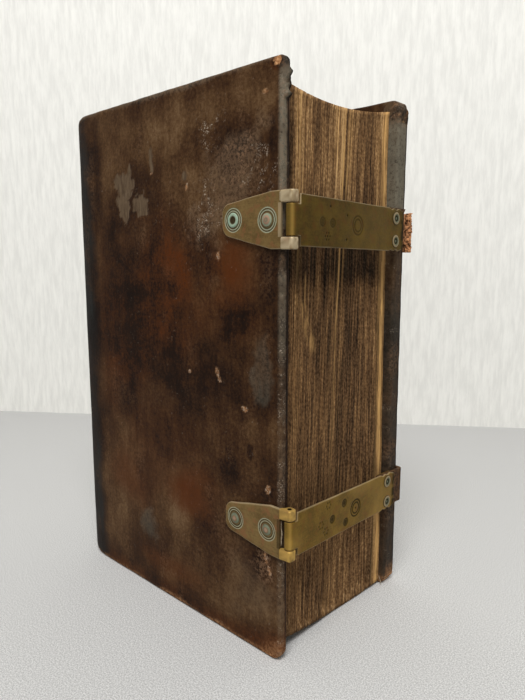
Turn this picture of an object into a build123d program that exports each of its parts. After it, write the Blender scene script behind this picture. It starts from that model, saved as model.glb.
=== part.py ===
"""Antique book in full leather over wooden boards, with two brass hook clasps.

Millimetres. +X is the fore-edge, -X the spine, -Y the front cover, +Y the back
cover and +Z the head. The origin is under the middle of the whole book, on the
surface that it stands on.
"""

import os
from math import asin, cos, degrees, radians, sin, sqrt, tan

from build123d import *

os.makedirs("parts", exist_ok=True)

# Covers
cover_height = 200.0
book_thickness = 75.0
leather_thickness = 0.7
front_board_thickness = 2.8
back_board_thickness = 5.6
pastedown_thickness = 0.5
turn_in_width = 14.0
edge_rounding = 0.9

# Shoulder of a cover, where it curves down to the joint with the spine
shoulder_start = 109.0
shoulder_radius = 28.0
shoulder_turn = 26.0
board_turn = 16.0
joint_leather = 0.9
joint_gap = 0.3

# Corner radii of the covers, worn round
spine_corner = 9.0
front_head_corner = 1.6
front_tail_corner = 4.5
back_head_corner = 4.0
back_tail_corner = 3.2

# Pages
page_gap = 0.3
front_fore_edge_inset = 3.0
back_fore_edge_inset = 4.2
fore_edge_hollow = 0.8
front_head_square = 7.6
middle_head_square = 8.2
back_head_square = 4.4
front_tail_square = 6.0
middle_tail_square = 3.0
back_tail_square = 2.4

# Spine
spine_leather_thickness = 1.0
spine_swell = 7.2
spine_end_inset = 0.5
headcap_reach = 3.0
headcap_thickness = 0.8
cord_count = 5
cord_radius = 1.5
cord_pitch = 33.3
cord_stand = 0.6
band_end_inset = 4.0
band_ramp = 6.0
joint_end_rounding = 0.45
endband_width = 2.6
endband_bevel = 0.8
endband_depth = 6.2
endband_proud = 0.9
endband_end_inset = 1.5

# Catch plates on the front cover
catch_thickness = 1.2
catch_length = 25.8
catch_tip_corner = 3.0
catch_tip_width = 10.0
catch_width = 18.0
catch_tip_rise = 0.9
catch_shoulder = 4.0
window_height = 10.4
window_edge = 0.3
bar_radius = 0.75
bar_x = 3.0
bar_depth = 0.9
ring_radii = (3.9, 2.9)
ring_width = 0.5
ring_depth = 0.2
catch_rivet_spots = (5.4, 20.6)

# Flats of the small round pieces, which are cut and filed by hand
cord_sides = 8
band_sides = 16
shank_sides = 8
head_sides = 12
ring_sides = 16

# Rivets and tacks
rivet_radius = 1.0
rivet_head_radius = 1.6
rivet_head_height = 0.6
head_taper = 35
strap_rivet_head_radius = 1.4
strap_rivet_head_height = 0.5
tack_radius = 0.5
tack_head_radius = 1.5
tack_head_height = 0.6
tack_length = 3.4

# Hook plates of the clasps
hook_clearance = 0.15
hook_wrap = 215.0
hook_side_clearance = 0.3
plate_thickness = 0.9
plate_start = 3.4
plate_end_inset = 5.4
bend_lead = 1.0
plate_far_face = 3.2
upper_clasp_width = 16.2
lower_clasp_width = 15.4
plate_corner = 1.2
punch_width = 0.35
punch_depth = 0.2
big_ring = (3.2, 2.1)
small_ring = (1.3,)
# Punched rings of each plate: distance from the bar, height above its middle, radii
ornaments = {
    "upper": [(14.0, 0.0, small_ring), (19.7, -0.2, small_ring), (35.0, -0.4, big_ring)],
    "lower": [
        (22.8, -1.9, small_ring),
        (30.4, 1.8, small_ring),
        (31.6, -6.0, small_ring),
        (38.2, -2.6, big_ring),
    ],
}

# Straps
strap_thickness = 1.5
strap_width_inset = 0.7
strap_hold = 11.0
strap_bend_radius = 0.8
strap_leg_length = 18.0
strap_gap = 0.3
torn_depth = 1.6
torn_strap_gap = 3.0
tail_tear_share = 0.5
tear_run_past = 1.5
# How deep the tear is at even steps up the strap's width, as a share of its depth
tear_shape = (0.3, 0.9, 0.5, 1.0, 0.2, 0.7, 0.4, 0.8, 0.0)
backing_thickness = 0.5
backing_hold = 9.5
backing_corner = 0.5
strap_rivet_spacing = 8.5
strap_rivet_inset = 4.6
tack_spacing = 8.0
tack_inset = 5.0

# Heights and slopes of the two clasps
upper_clasp_height = 151.3
lower_clasp_height = 48.6
upper_clasp_slope = 0.0
lower_clasp_slope = -3.0

# How far a cutting form runs past what it cuts
run_past = 5.0

# Worked-out sizes
front_cover_thickness = leather_thickness + front_board_thickness + pastedown_thickness
back_cover_thickness = leather_thickness + back_board_thickness + pastedown_thickness
bend_start = book_thickness - strap_bend_radius - strap_gap
plate_end = bend_start - plate_end_inset
strap_start = plate_end - strap_hold
backing_start = plate_end - backing_hold
knuckle_radius = catch_thickness + bar_depth
hook_inner_radius = bar_radius + hook_clearance
hook_outer_radius = hook_inner_radius + plate_thickness
strap_far_face = plate_far_face - plate_thickness
backing_face = strap_far_face - strap_thickness

mid_shoulder = shoulder_radius - joint_leather / 2
joint_x = -shoulder_start - mid_shoulder * sin(radians(shoulder_turn))
joint_y = shoulder_radius - mid_shoulder * cos(radians(shoulder_turn))

half_joint_chord = book_thickness / 2 - joint_y
spine_mid_radius = (half_joint_chord**2 + spine_swell**2) / (2 * spine_swell)
spine_inner_radius = spine_mid_radius - spine_leather_thickness / 2
spine_outer_radius = spine_mid_radius + spine_leather_thickness / 2
spine_axis_x = joint_x + spine_mid_radius - spine_swell
joint_angle = degrees(asin(half_joint_chord / spine_mid_radius))
shell_end_gap = degrees((joint_leather / 2 + joint_gap) / spine_mid_radius)
shell_angle = joint_angle - shell_end_gap
band_angle = shell_angle - degrees(band_end_inset / spine_mid_radius)
band_radius = cord_radius + spine_leather_thickness
cord_ring_radius = spine_inner_radius + cord_stand
band_reach = cord_ring_radius + band_radius

# The book's box, which puts the origin under its middle
reach_back = spine_axis_x - band_reach
reach_fore = bar_x + knuckle_radius
reach_front = catch_thickness + rivet_head_height
reach_rear = strap_thickness + tack_head_height
fore_x = -(reach_fore + reach_back) / 2
front_y = -(book_thickness + reach_rear - reach_front) / 2
back_y = front_y + book_thickness
middle_y = front_y + book_thickness / 2

# Flat working planes. Their own x is 0 at the boards' fore-edge, and their own y
# is 0 at the outer face of a cover and grows into the book.
front_plan = Plane(origin=(fore_x, front_y, 0), x_dir=(1, 0, 0), z_dir=(0, 0, 1))
back_plan = Plane(
    origin=(fore_x, back_y, cover_height), x_dir=(1, 0, 0), z_dir=(0, 0, -1)
)
# Looking at the front cover: x towards the fore-edge, y up, normal out of the book
front_face = Plane(origin=(fore_x, front_y, 0), x_dir=(1, 0, 0), z_dir=(0, -1, 0))
# Looking at the fore-edge: x towards the back cover, y up, normal out of the book
fore_face = Plane(origin=(fore_x, front_y, 0), x_dir=(0, 1, 0), z_dir=(1, 0, 0))


def save(part, name):
    """Label a finished piece and write its file."""
    part.label = name
    export_step(part, f"parts/{name}.step")


def on_shoulder(radius, turn):
    """A point of the cover's section at that radius and turn of the shoulder."""
    return (
        -shoulder_start - radius * sin(radians(turn)),
        shoulder_radius - radius * cos(radians(turn)),
    )


def cover_outline(inset, head_corner, tail_corner):
    """The face of a cover, smaller all round by inset, with its worn corners."""
    low = inset
    high = cover_height - inset
    fore = -inset
    back = joint_x - joint_leather
    with BuildSketch(front_face.offset(run_past)) as outline:
        with BuildLine():
            Polyline((fore, low), (fore, high), (back, high), (back, low), close=True)
        make_face()
        fillet(outline.vertices().group_by(Axis.X)[0], spine_corner)
        fillet(outline.vertices().group_by(Axis.X)[-1].sort_by(Axis.Y)[0], tail_corner)
        fillet(outline.vertices().group_by(Axis.X)[-1].sort_by(Axis.Y)[-1], head_corner)
    return outline.sketch


def rounded_edges():
    """The whole book seen at the fore-edge, its covers' outer edges worn round."""
    with BuildSketch(fore_face.offset(run_past)) as outline:
        with Locations((book_thickness / 2, cover_height / 2)):
            RectangleRounded(book_thickness, cover_height, edge_rounding)
    return outline.sketch


def cover_form(plan, cover_thickness, head_corner, tail_corner):
    """The whole cover as one closed form: board, leather and pastedown."""
    end_out = on_shoulder(shoulder_radius, shoulder_turn)
    end_tip = (
        joint_x - joint_leather / 2 * cos(radians(shoulder_turn)),
        joint_y + joint_leather / 2 * sin(radians(shoulder_turn)),
    )
    under = shoulder_radius - joint_leather
    end_in = on_shoulder(under, shoulder_turn)
    board_edge = on_shoulder(under, board_turn)
    drop = cover_thickness - board_edge[1]
    inner_edge = (board_edge[0] + drop * tan(radians(board_turn)), cover_thickness)
    with BuildPart() as form:
        with BuildSketch(plan) as section:
            with BuildLine():
                Line((0, 0), (-shoulder_start, 0))
                ThreePointArc(
                    (-shoulder_start, 0),
                    on_shoulder(shoulder_radius, shoulder_turn / 2),
                    end_out,
                )
                ThreePointArc(end_out, end_tip, end_in)
                ThreePointArc(
                    end_in, on_shoulder(under, (shoulder_turn + board_turn) / 2), board_edge
                )
                Polyline(board_edge, inner_edge, (0, cover_thickness), (0, 0))
            make_face()
            fillet(section.vertices().group_by(Axis.X)[-1], edge_rounding)
        extrude(amount=cover_height)
        outline = cover_outline(0, head_corner, tail_corner)
        extrude(outline, amount=-book_thickness - 2 * run_past, mode=Mode.INTERSECT)
        extrude(rounded_edges(), amount=-2 * shoulder_start, mode=Mode.INTERSECT)
    return form.part


def board_form(plan, board_thickness, head_corner, tail_corner):
    """The wooden board, its spine edge bevelled to the shoulder."""
    skin = shoulder_radius - leather_thickness
    inner = leather_thickness + board_thickness
    spine_edge = on_shoulder(skin, board_turn)
    drop = inner - spine_edge[1]
    inner_edge = (spine_edge[0] + drop * tan(radians(board_turn)), inner)
    with BuildPart() as form:
        with BuildSketch(plan):
            with BuildLine():
                Line((0, leather_thickness), (-shoulder_start, leather_thickness))
                ThreePointArc(
                    (-shoulder_start, leather_thickness),
                    on_shoulder(skin, board_turn / 2),
                    spine_edge,
                )
                Polyline(spine_edge, inner_edge, (0, inner), (0, leather_thickness))
            make_face()
        extrude(amount=cover_height)
        outline = cover_outline(
            leather_thickness,
            head_corner - leather_thickness,
            tail_corner - leather_thickness,
        )
        extrude(outline, amount=-book_thickness - 2 * run_past, mode=Mode.INTERSECT)
    return form.part


def pastedown_form(plan, cover_thickness):
    """The paper that lines the cover between the leather turn-ins."""
    level = cover_thickness - pastedown_thickness
    under = shoulder_radius - joint_leather
    board_edge = on_shoulder(under, board_turn)
    slant = tan(radians(board_turn))
    low_edge = (board_edge[0] + (level - board_edge[1]) * slant, level)
    high_edge = (board_edge[0] + (cover_thickness - board_edge[1]) * slant, cover_thickness)
    with BuildPart() as form:
        with BuildSketch(plan.offset(turn_in_width)):
            with BuildLine():
                Polyline(
                    (-turn_in_width, level),
                    low_edge,
                    high_edge,
                    (-turn_in_width, cover_thickness),
                    close=True,
                )
            make_face()
        extrude(amount=cover_height - 2 * turn_in_width)
    return form.part


def rivet_spots(height, rise):
    """Where a catch plate's rivets pass through the front cover, as seen on its face."""
    return [(-spot, height + rise * spot / catch_length) for spot in catch_rivet_spots]


# Heights of the clasps and the rise of each catch plate towards its tip
clasps = {
    "upper": (upper_clasp_height, catch_tip_rise, upper_clasp_slope, upper_clasp_width),
    "lower": (lower_clasp_height, -catch_tip_rise, lower_clasp_slope, lower_clasp_width),
}
all_rivet_spots = [
    spot for height, rise, _, _ in clasps.values() for spot in rivet_spots(height, rise)
]
rivet_end = leather_thickness + front_board_thickness


def strap_height(height, slope, distance):
    """Height of a clasp's middle line at a distance from the front face."""
    return height + (distance - bar_depth) * tan(radians(slope))


# Where the tacks go in, as distance from the fore-edge and height
tack_spots = {
    name: [
        (
            -(strap_leg_length - tack_inset),
            strap_height(height, slope, book_thickness) + side * tack_spacing / 2,
        )
        for side in (-1, 1)
    ]
    for name, (height, _, slope, _) in clasps.items()
}
all_tack_spots = [spot for spots in tack_spots.values() for spot in spots]
rear_face = Plane(origin=(fore_x, back_y, 0), x_dir=(1, 0, 0), z_dir=(0, -1, 0))

# Front cover
front_corners = (front_head_corner, front_tail_corner)
front_form = cover_form(front_plan, front_cover_thickness, *front_corners)
front_board_form = board_form(front_plan, front_board_thickness, *front_corners)
front_lining_form = pastedown_form(front_plan, front_cover_thickness)

with BuildPart() as front_board:
    add(front_board_form)
    with BuildSketch(front_face):
        with Locations(*all_rivet_spots):
            RegularPolygon(rivet_radius, shank_sides)
    extrude(amount=-rivet_end, mode=Mode.SUBTRACT)
save(front_board.part, "front_board")

with BuildPart() as front_leather:
    add(front_form)
    add(front_board_form, mode=Mode.SUBTRACT)
    add(front_lining_form, mode=Mode.SUBTRACT)
    with BuildSketch(front_face):
        with Locations(*all_rivet_spots):
            RegularPolygon(rivet_radius, shank_sides)
    extrude(amount=-rivet_end, mode=Mode.SUBTRACT)
save(front_leather.part, "front_leather")

with BuildPart() as front_pastedown:
    add(front_lining_form)
save(front_pastedown.part, "front_pastedown")

# Back cover
back_corners = (back_head_corner, back_tail_corner)
back_form = cover_form(back_plan, back_cover_thickness, *back_corners)
back_board_form = board_form(back_plan, back_board_thickness, *back_corners)
back_lining_form = pastedown_form(back_plan, back_cover_thickness)

with BuildPart() as back_board:
    add(back_board_form)
    with BuildSketch(rear_face):
        with Locations(*all_tack_spots):
            RegularPolygon(tack_radius, shank_sides)
    extrude(amount=tack_length, mode=Mode.SUBTRACT)
save(back_board.part, "back_board")

with BuildPart() as back_leather:
    add(back_form)
    add(back_board_form, mode=Mode.SUBTRACT)
    add(back_lining_form, mode=Mode.SUBTRACT)
    with BuildSketch(rear_face):
        with Locations(*all_tack_spots):
            RegularPolygon(tack_radius, shank_sides)
    extrude(amount=tack_length, mode=Mode.SUBTRACT)
save(back_leather.part, "back_leather")

with BuildPart() as back_pastedown:
    add(back_lining_form)
save(back_pastedown.part, "back_pastedown")

# Pages: one block, rounded at the spine, a little hollow at the fore-edge, and
# sagging at head and tail
page_front = front_cover_thickness + page_gap
page_back = book_thickness - back_cover_thickness - page_gap
page_middle = (page_front + page_back) / 2
book_middle = book_thickness / 2
middle_inset = (front_fore_edge_inset + back_fore_edge_inset) / 2 + fore_edge_hollow


def page_spine(level):
    """Where the pages' rounded back lies at that distance from the front face."""
    return spine_axis_x - sqrt(spine_inner_radius**2 - (level - book_middle) ** 2)


with BuildPart() as text_block:
    with BuildSketch(front_plan):
        with BuildLine():
            Line((page_spine(page_front), page_front), (-front_fore_edge_inset, page_front))
            ThreePointArc(
                (-front_fore_edge_inset, page_front),
                (-middle_inset, page_middle),
                (-back_fore_edge_inset, page_back),
            )
            Line((-back_fore_edge_inset, page_back), (page_spine(page_back), page_back))
            ThreePointArc(
                (page_spine(page_back), page_back),
                (page_spine(book_middle), book_middle),
                (page_spine(page_front), page_front),
            )
        make_face()
    extrude(amount=cover_height)
    with BuildSketch(fore_face):
        with BuildLine():
            Line((page_front, front_tail_square), (page_front, cover_height - front_head_square))
            ThreePointArc(
                (page_front, cover_height - front_head_square),
                (page_middle, cover_height - middle_head_square),
                (page_back, cover_height - back_head_square),
            )
            Line((page_back, cover_height - back_head_square), (page_back, back_tail_square))
            ThreePointArc(
                (page_back, back_tail_square),
                (page_middle, middle_tail_square),
                (page_front, front_tail_square),
            )
        make_face()
    extrude(amount=-2 * shoulder_start, mode=Mode.INTERSECT)
save(text_block.part, "text_block")

# Spine: everything here is turned about one upright axis
spine_axis = Axis((fore_x + spine_axis_x, middle_y, 0), (0, 0, 1))
cord_heights = [
    cover_height / 2 + cord_pitch * (number - (cord_count - 1) / 2)
    for number in range(cord_count)
]


def spine_section(half_angle):
    """The upright plane through the spine's axis where a turned piece starts."""
    angle = radians(180 - half_angle)
    return Plane(
        origin=(fore_x + spine_axis_x, middle_y, 0),
        x_dir=(cos(angle), sin(angle), 0),
        z_dir=(sin(angle), -cos(angle), 0),
    )


def cord_rings(radius, sides):
    """Rings of that radius on the cords' places, cut flat where they lie on the pages."""
    with BuildSketch(spine_section(band_angle)) as rings:
        with Locations(*[(cord_ring_radius, height) for height in cord_heights]):
            RegularPolygon(radius, sides, rotation=180 / sides)
        with Locations((spine_inner_radius - band_radius, cover_height / 2)):
            Rectangle(2 * band_radius, cover_height, mode=Mode.SUBTRACT)
    return rings.sketch


def on_spine(radius, half_angle):
    """A point on plan at that radius and angle from the middle of the spine."""
    return (-radius * cos(radians(half_angle)), radius * sin(radians(half_angle)))


with BuildPart() as sewing_cords:
    rings = cord_rings(cord_radius, cord_sides)
    revolve(rings, axis=spine_axis, revolution_arc=2 * band_angle)
save(sewing_cords.part, "sewing_cords")

# Raised bands: the leather over the cords, pressed down to nothing at their ends
ramp_angle = band_angle - degrees(band_ramp / spine_mid_radius)
with BuildPart() as raised_bands:
    rings = cord_rings(band_radius, band_sides)
    revolve(rings, axis=spine_axis, revolution_arc=2 * band_angle)
    with BuildSketch(Plane(origin=(fore_x + spine_axis_x, middle_y, 0))):
        with BuildLine():
            Polyline(
                on_spine(band_reach, -ramp_angle),
                on_spine(spine_outer_radius, -band_angle),
                (0, 0),
                on_spine(spine_outer_radius, band_angle),
                on_spine(band_reach, ramp_angle),
            )
            ThreePointArc(
                on_spine(band_reach, ramp_angle),
                on_spine(band_reach, 0),
                on_spine(band_reach, -ramp_angle),
            )
        make_face()
    extrude(amount=cover_height, mode=Mode.INTERSECT)

shell_height = cover_height - 2 * spine_end_inset
cap_width = headcap_reach + spine_leather_thickness
with BuildPart() as spine_leather:
    with BuildSketch(spine_section(shell_angle)):
        with Locations((spine_mid_radius, cover_height / 2)):
            Rectangle(spine_leather_thickness, shell_height)
        for end in (-1, 1):
            cap_level = cover_height / 2 + end * (shell_height - headcap_thickness) / 2
            with Locations((spine_outer_radius - cap_width / 2, cap_level)):
                Rectangle(cap_width, headcap_thickness)
    revolve(axis=spine_axis, revolution_arc=2 * shell_angle)
    upright = spine_leather.edges().filter_by(Axis.Z)
    fillet(upright.group_by(SortBy.LENGTH)[-1].group_by(Axis.X)[0], joint_end_rounding)
    add(raised_bands.part)
    add(sewing_cords.part, mode=Mode.SUBTRACT)
save(spine_leather.part, "spine_leather")

half_endband = min(book_middle - page_front, page_back - book_middle) - endband_end_inset
endband_angle = degrees(asin(half_endband / spine_inner_radius))


def endband(outer_level, side):
    """A worked band on the pages' end, its underside fitted to their sag."""
    with BuildPart() as band:
        with BuildSketch(spine_section(endband_angle)) as section:
            middle = outer_level - side * endband_depth / 2
            with Locations((spine_inner_radius - endband_width / 2, middle)):
                Rectangle(endband_width, endband_depth)
            chamfer(section.vertices(), endband_bevel)
        revolve(axis=spine_axis, revolution_arc=2 * endband_angle)
        add(text_block.part, mode=Mode.SUBTRACT)
    return band.part


with BuildPart() as head_endband:
    add(endband(cover_height - back_head_square + endband_proud, 1))
save(head_endband.part, "head_endband")

with BuildPart() as tail_endband:
    add(endband(back_tail_square - endband_proud, -1))
save(tail_endband.part, "tail_endband")


# Catch plates: a tapering plate on the front cover, its two knuckles curled round
# a bar, with a window between them for the hook
def catch_plate(height, rise):
    wide = catch_width / 2
    tip = catch_tip_width / 2
    with BuildPart() as plate:
        with BuildSketch(front_plan):
            with BuildLine():
                Polyline(
                    (bar_x, 0),
                    (-catch_length, 0),
                    (-catch_length, -catch_thickness),
                    (bar_x, -catch_thickness),
                    close=True,
                )
            make_face()
            with Locations((bar_x, bar_depth)):
                Circle(knuckle_radius)
                Circle(bar_radius, mode=Mode.SUBTRACT)
        extrude(amount=cover_height)
        with BuildSketch(front_face.offset(run_past)) as outline:
            with BuildLine():
                Polyline(
                    (-catch_length, height + rise - tip),
                    (-catch_shoulder, height - wide),
                    (bar_x + knuckle_radius, height - wide),
                    (bar_x + knuckle_radius, height + wide),
                    (-catch_shoulder, height + wide),
                    (-catch_length, height + rise + tip),
                    close=True,
                )
            make_face()
            fillet(outline.vertices().group_by(Axis.X)[0], catch_tip_corner)
        extrude(amount=-2 * run_past, mode=Mode.INTERSECT)
        with BuildSketch(front_face.offset(run_past)):
            with Locations((window_edge, height)):
                Rectangle(
                    bar_x + knuckle_radius, window_height, align=(Align.MIN, Align.CENTER)
                )
        extrude(amount=-2 * run_past, mode=Mode.SUBTRACT)
        with BuildSketch(front_face):
            with Locations(*rivet_spots(height, rise)):
                RegularPolygon(rivet_radius, shank_sides)
        extrude(amount=catch_thickness, mode=Mode.SUBTRACT)
        with BuildSketch(front_face.offset(catch_thickness)):
            with Locations(*rivet_spots(height, rise)):
                for radius in ring_radii:
                    RegularPolygon(radius, ring_sides)
                    RegularPolygon(radius - ring_width, ring_sides, mode=Mode.SUBTRACT)
        extrude(amount=-ring_depth, mode=Mode.SUBTRACT)
    return plate.part


def catch_bar(height):
    with BuildPart() as bar:
        with BuildSketch(front_plan.offset(height - catch_width / 2)):
            with Locations((bar_x, bar_depth)):
                Circle(bar_radius)
        extrude(amount=catch_width)
    return bar.part


def catch_rivets(height, rise):
    with BuildPart() as rivets:
        with BuildSketch(front_face.offset(-rivet_end)):
            with Locations(*rivet_spots(height, rise)):
                RegularPolygon(rivet_radius, shank_sides)
        extrude(amount=rivet_end + catch_thickness)
        with BuildSketch(front_face.offset(catch_thickness)):
            with Locations(*rivet_spots(height, rise)):
                RegularPolygon(rivet_head_radius, head_sides)
        extrude(amount=rivet_head_height, taper=head_taper)
    return rivets.part


# Hook plates: a strip whose near end is rolled round the bar, cut to a narrow
# tongue at the hook and full width across the fore-edge
def strip_section(thickness, outer_face, start, end):
    """A flat strip along the fore-edge, seen from above."""
    with BuildSketch(front_plan) as section:
        with BuildLine():
            Polyline(
                (outer_face, start),
                (outer_face, end),
                (outer_face - thickness, end),
                (outer_face - thickness, start),
                close=True,
            )
        make_face()
    return section.sketch


def clasp_outline(height, slope, width, start, end, corner, tongue=False):
    """A sloping strip seen on the fore-edge, with a narrow tongue for the hook or none."""
    low = strap_height(height, slope, start)
    high = strap_height(height, slope, end)
    with BuildSketch(fore_face.offset(-run_past)) as outline:
        with BuildLine():
            Polyline(
                (start, low - width / 2),
                (end, high - width / 2),
                (end, high + width / 2),
                (start, low + width / 2),
                close=True,
            )
        make_face()
        fillet(outline.vertices().group_by(Axis.X)[-1], corner)
        if tongue:
            with Locations((bar_depth, height)):
                Rectangle(2 * (plate_start + hook_side_clearance), tongue_width)
    return outline.sketch


hook_face = bar_x + hook_outer_radius
tongue_width = window_height - 2 * hook_side_clearance
plate_bend = strap_start - bend_lead
strap_rivet_y = plate_end - strap_rivet_inset

# The outer face of a hook plate: x along the plate from the bar, y up, normal outward
plate_run = Vector(plate_far_face - hook_face, plate_bend - bar_depth, 0)
plate_face = Plane(
    origin=(fore_x + hook_face, front_y + bar_depth, 0),
    x_dir=plate_run,
    z_dir=(plate_run.Y, -plate_run.X, 0),
)


def around_bar(radius, turn):
    """A point at that radius and turn round the catch bar, from the fore side."""
    return (
        bar_x + radius * cos(radians(turn)),
        bar_depth - radius * sin(radians(turn)),
    )


def strap_rivet_spots(height, slope):
    """Where the strap rivets pass through, as seen on the fore-edge."""
    middle = strap_height(height, slope, strap_rivet_y)
    return [(strap_rivet_y, middle + side * strap_rivet_spacing / 2) for side in (-1, 1)]


def clasp_plate(name, height, slope, width):
    """A hook plate, rolled round the bar at one end and riveted at the other."""
    with BuildPart() as plate:
        with BuildSketch(front_plan):
            with BuildLine():
                Polyline(
                    around_bar(hook_inner_radius, 0),
                    (strap_far_face, plate_bend),
                    (strap_far_face, plate_end),
                    (plate_far_face, plate_end),
                    (plate_far_face, plate_bend),
                    around_bar(hook_outer_radius, 0),
                    close=True,
                )
            make_face()
            with BuildLine():
                ThreePointArc(
                    around_bar(hook_outer_radius, 0),
                    around_bar(hook_outer_radius, hook_wrap / 2),
                    around_bar(hook_outer_radius, hook_wrap),
                )
                Line(
                    around_bar(hook_outer_radius, hook_wrap),
                    around_bar(hook_inner_radius, hook_wrap),
                )
                ThreePointArc(
                    around_bar(hook_inner_radius, hook_wrap),
                    around_bar(hook_inner_radius, hook_wrap / 2),
                    around_bar(hook_inner_radius, 0),
                )
                Line(around_bar(hook_inner_radius, 0), around_bar(hook_outer_radius, 0))
            make_face()
        extrude(amount=cover_height)
        outline = clasp_outline(
            height, slope, width, plate_start, plate_end, plate_corner, tongue=True
        )
        extrude(outline, amount=run_past + 2 * hook_face, mode=Mode.INTERSECT)
        with BuildSketch(fore_face):
            with Locations(*strap_rivet_spots(height, slope)):
                RegularPolygon(rivet_radius, shank_sides)
        extrude(amount=hook_face, mode=Mode.SUBTRACT)
        with BuildSketch(plate_face):
            for along, up, radii in ornaments[name]:
                with Locations((along, height + up)):
                    for radius in radii:
                        RegularPolygon(radius, ring_sides)
                        RegularPolygon(radius - punch_width, ring_sides, mode=Mode.SUBTRACT)
        extrude(amount=-punch_depth, mode=Mode.SUBTRACT)
    return plate.part


def strap_rivets(height, slope):
    """The two rivets that hold a strap between its plates."""
    spots = strap_rivet_spots(height, slope)
    with BuildPart() as rivets:
        with BuildSketch(fore_face.offset(backing_face - backing_thickness)):
            with Locations(*spots):
                RegularPolygon(rivet_radius, shank_sides)
        extrude(amount=backing_thickness + strap_thickness + plate_thickness)
        with BuildSketch(fore_face.offset(plate_far_face)):
            with Locations(*spots):
                RegularPolygon(strap_rivet_head_radius, head_sides)
        extrude(amount=strap_rivet_head_height, taper=head_taper)
    return rivets.part


def flat_strip(section, outline, spots):
    """A flat strip under a hook plate, drilled for the strap rivets."""
    with BuildPart() as strip:
        extrude(section, amount=cover_height)
        extrude(outline, amount=run_past + hook_face, mode=Mode.INTERSECT)
        with BuildSketch(fore_face):
            with Locations(*spots):
                RegularPolygon(rivet_radius, shank_sides)
        extrude(amount=hook_face, mode=Mode.SUBTRACT)
    return strip.part


def backing_plate(height, slope, width):
    """The small plate behind a strap, which the rivets are closed on."""
    narrow = width - 2 * strap_width_inset
    return flat_strip(
        strip_section(backing_thickness, backing_face, backing_start, plate_end),
        clasp_outline(height, slope, narrow, backing_start, plate_end, backing_corner),
        strap_rivet_spots(height, slope),
    )


def strap(height, slope, width, end, tear):
    """The leather between the plates, up to the bend at the back board's corner."""
    narrow = width - 2 * strap_width_inset
    return flat_strip(
        strip_section(strap_thickness, strap_far_face, strap_start, end),
        torn_outline(height, slope, narrow, strap_start, end, tear),
        strap_rivet_spots(height, slope),
    )


def torn_outline(height, slope, width, start, end, tear):
    """A sloping strip seen on the fore-edge, its far end torn tear deep."""
    steps = len(tear_shape) - 1
    middle = strap_height(height, slope, end)
    ragged = [
        (end - tear * depth, middle + width * (number / steps - 0.5))
        for number, depth in enumerate(tear_shape)
    ]
    low = strap_height(height, slope, start)
    with BuildSketch(fore_face.offset(-run_past)) as outline:
        with BuildLine():
            Polyline(
                (start, low + width / 2),
                (start, low - width / 2),
                *ragged,
                close=True,
            )
        make_face()
    return outline.sketch


def strap_tail(height, slope, width, spots, tear):
    """A strap's leg, bent round the back board's fore-edge and tacked to its face."""
    bend_y = book_thickness - strap_bend_radius
    outer = strap_bend_radius + strap_thickness
    half = cos(radians(45))
    narrow = width - 2 * strap_width_inset
    middle = strap_height(height, slope, book_thickness)
    steps = len(tear_shape) - 1
    with BuildPart() as tail:
        with BuildSketch(front_plan.offset(middle - narrow / 2)):
            with BuildLine():
                Line((strap_bend_radius, bend_y), (outer, bend_y))
                ThreePointArc(
                    (outer, bend_y),
                    (outer * half, bend_y + outer * half),
                    (0, bend_y + outer),
                )
                Polyline(
                    (0, bend_y + outer),
                    (-strap_leg_length, bend_y + outer),
                    (-strap_leg_length, book_thickness),
                    (0, book_thickness),
                )
                ThreePointArc(
                    (0, book_thickness),
                    (strap_bend_radius * half, bend_y + strap_bend_radius * half),
                    (strap_bend_radius, bend_y),
                )
            make_face()
        extrude(amount=narrow)
        with BuildSketch(rear_face):
            with Locations(*spots):
                RegularPolygon(tack_radius, shank_sides)
        extrude(amount=-strap_thickness, mode=Mode.SUBTRACT)
        if tear:
            torn_width = narrow + 2 * tear_run_past
            ragged = [
                (bend_y - run_past, middle + torn_width / 2),
                (bend_y - run_past, middle - torn_width / 2),
                *[
                    (bend_y + tear * depth, middle + torn_width * (number / steps - 0.5))
                    for number, depth in enumerate(tear_shape)
                ],
            ]
            with BuildSketch(fore_face):
                with BuildLine():
                    Polyline(*ragged, close=True)
                make_face()
            extrude(amount=outer, mode=Mode.SUBTRACT)
    return tail.part


def tail_tacks(spots):
    """The tacks that hold a strap's leg, driven into the back board."""
    with BuildPart() as tacks:
        with BuildSketch(rear_face.offset(-strap_thickness)):
            with Locations(*spots):
                RegularPolygon(tack_radius, shank_sides)
        extrude(amount=strap_thickness + tack_length)
        with BuildSketch(rear_face.offset(-strap_thickness)):
            with Locations(*spots):
                RegularPolygon(tack_head_radius, head_sides)
        extrude(amount=-tack_head_height, taper=head_taper)
    return tacks.part


for name, (height, rise, slope, width) in clasps.items():
    torn = name == "upper"
    tear = torn_depth if torn else 0
    strap_end = bend_start - torn_strap_gap if torn else bend_start
    save(catch_plate(height, rise), f"{name}_catch_plate")
    save(catch_bar(height), f"{name}_catch_bar")
    save(catch_rivets(height, rise), f"{name}_catch_rivets")
    save(clasp_plate(name, height, slope, width), f"{name}_clasp_plate")
    save(strap(height, slope, width, strap_end, tear), f"{name}_strap")
    save(backing_plate(height, slope, width), f"{name}_backing_plate")
    save(strap_rivets(height, slope), f"{name}_strap_rivets")
    spots = tack_spots[name]
    save(strap_tail(height, slope, width, spots, tear * tail_tear_share), f"{name}_strap_tail")
    save(tail_tacks(spots), f"{name}_tail_tacks")

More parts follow.
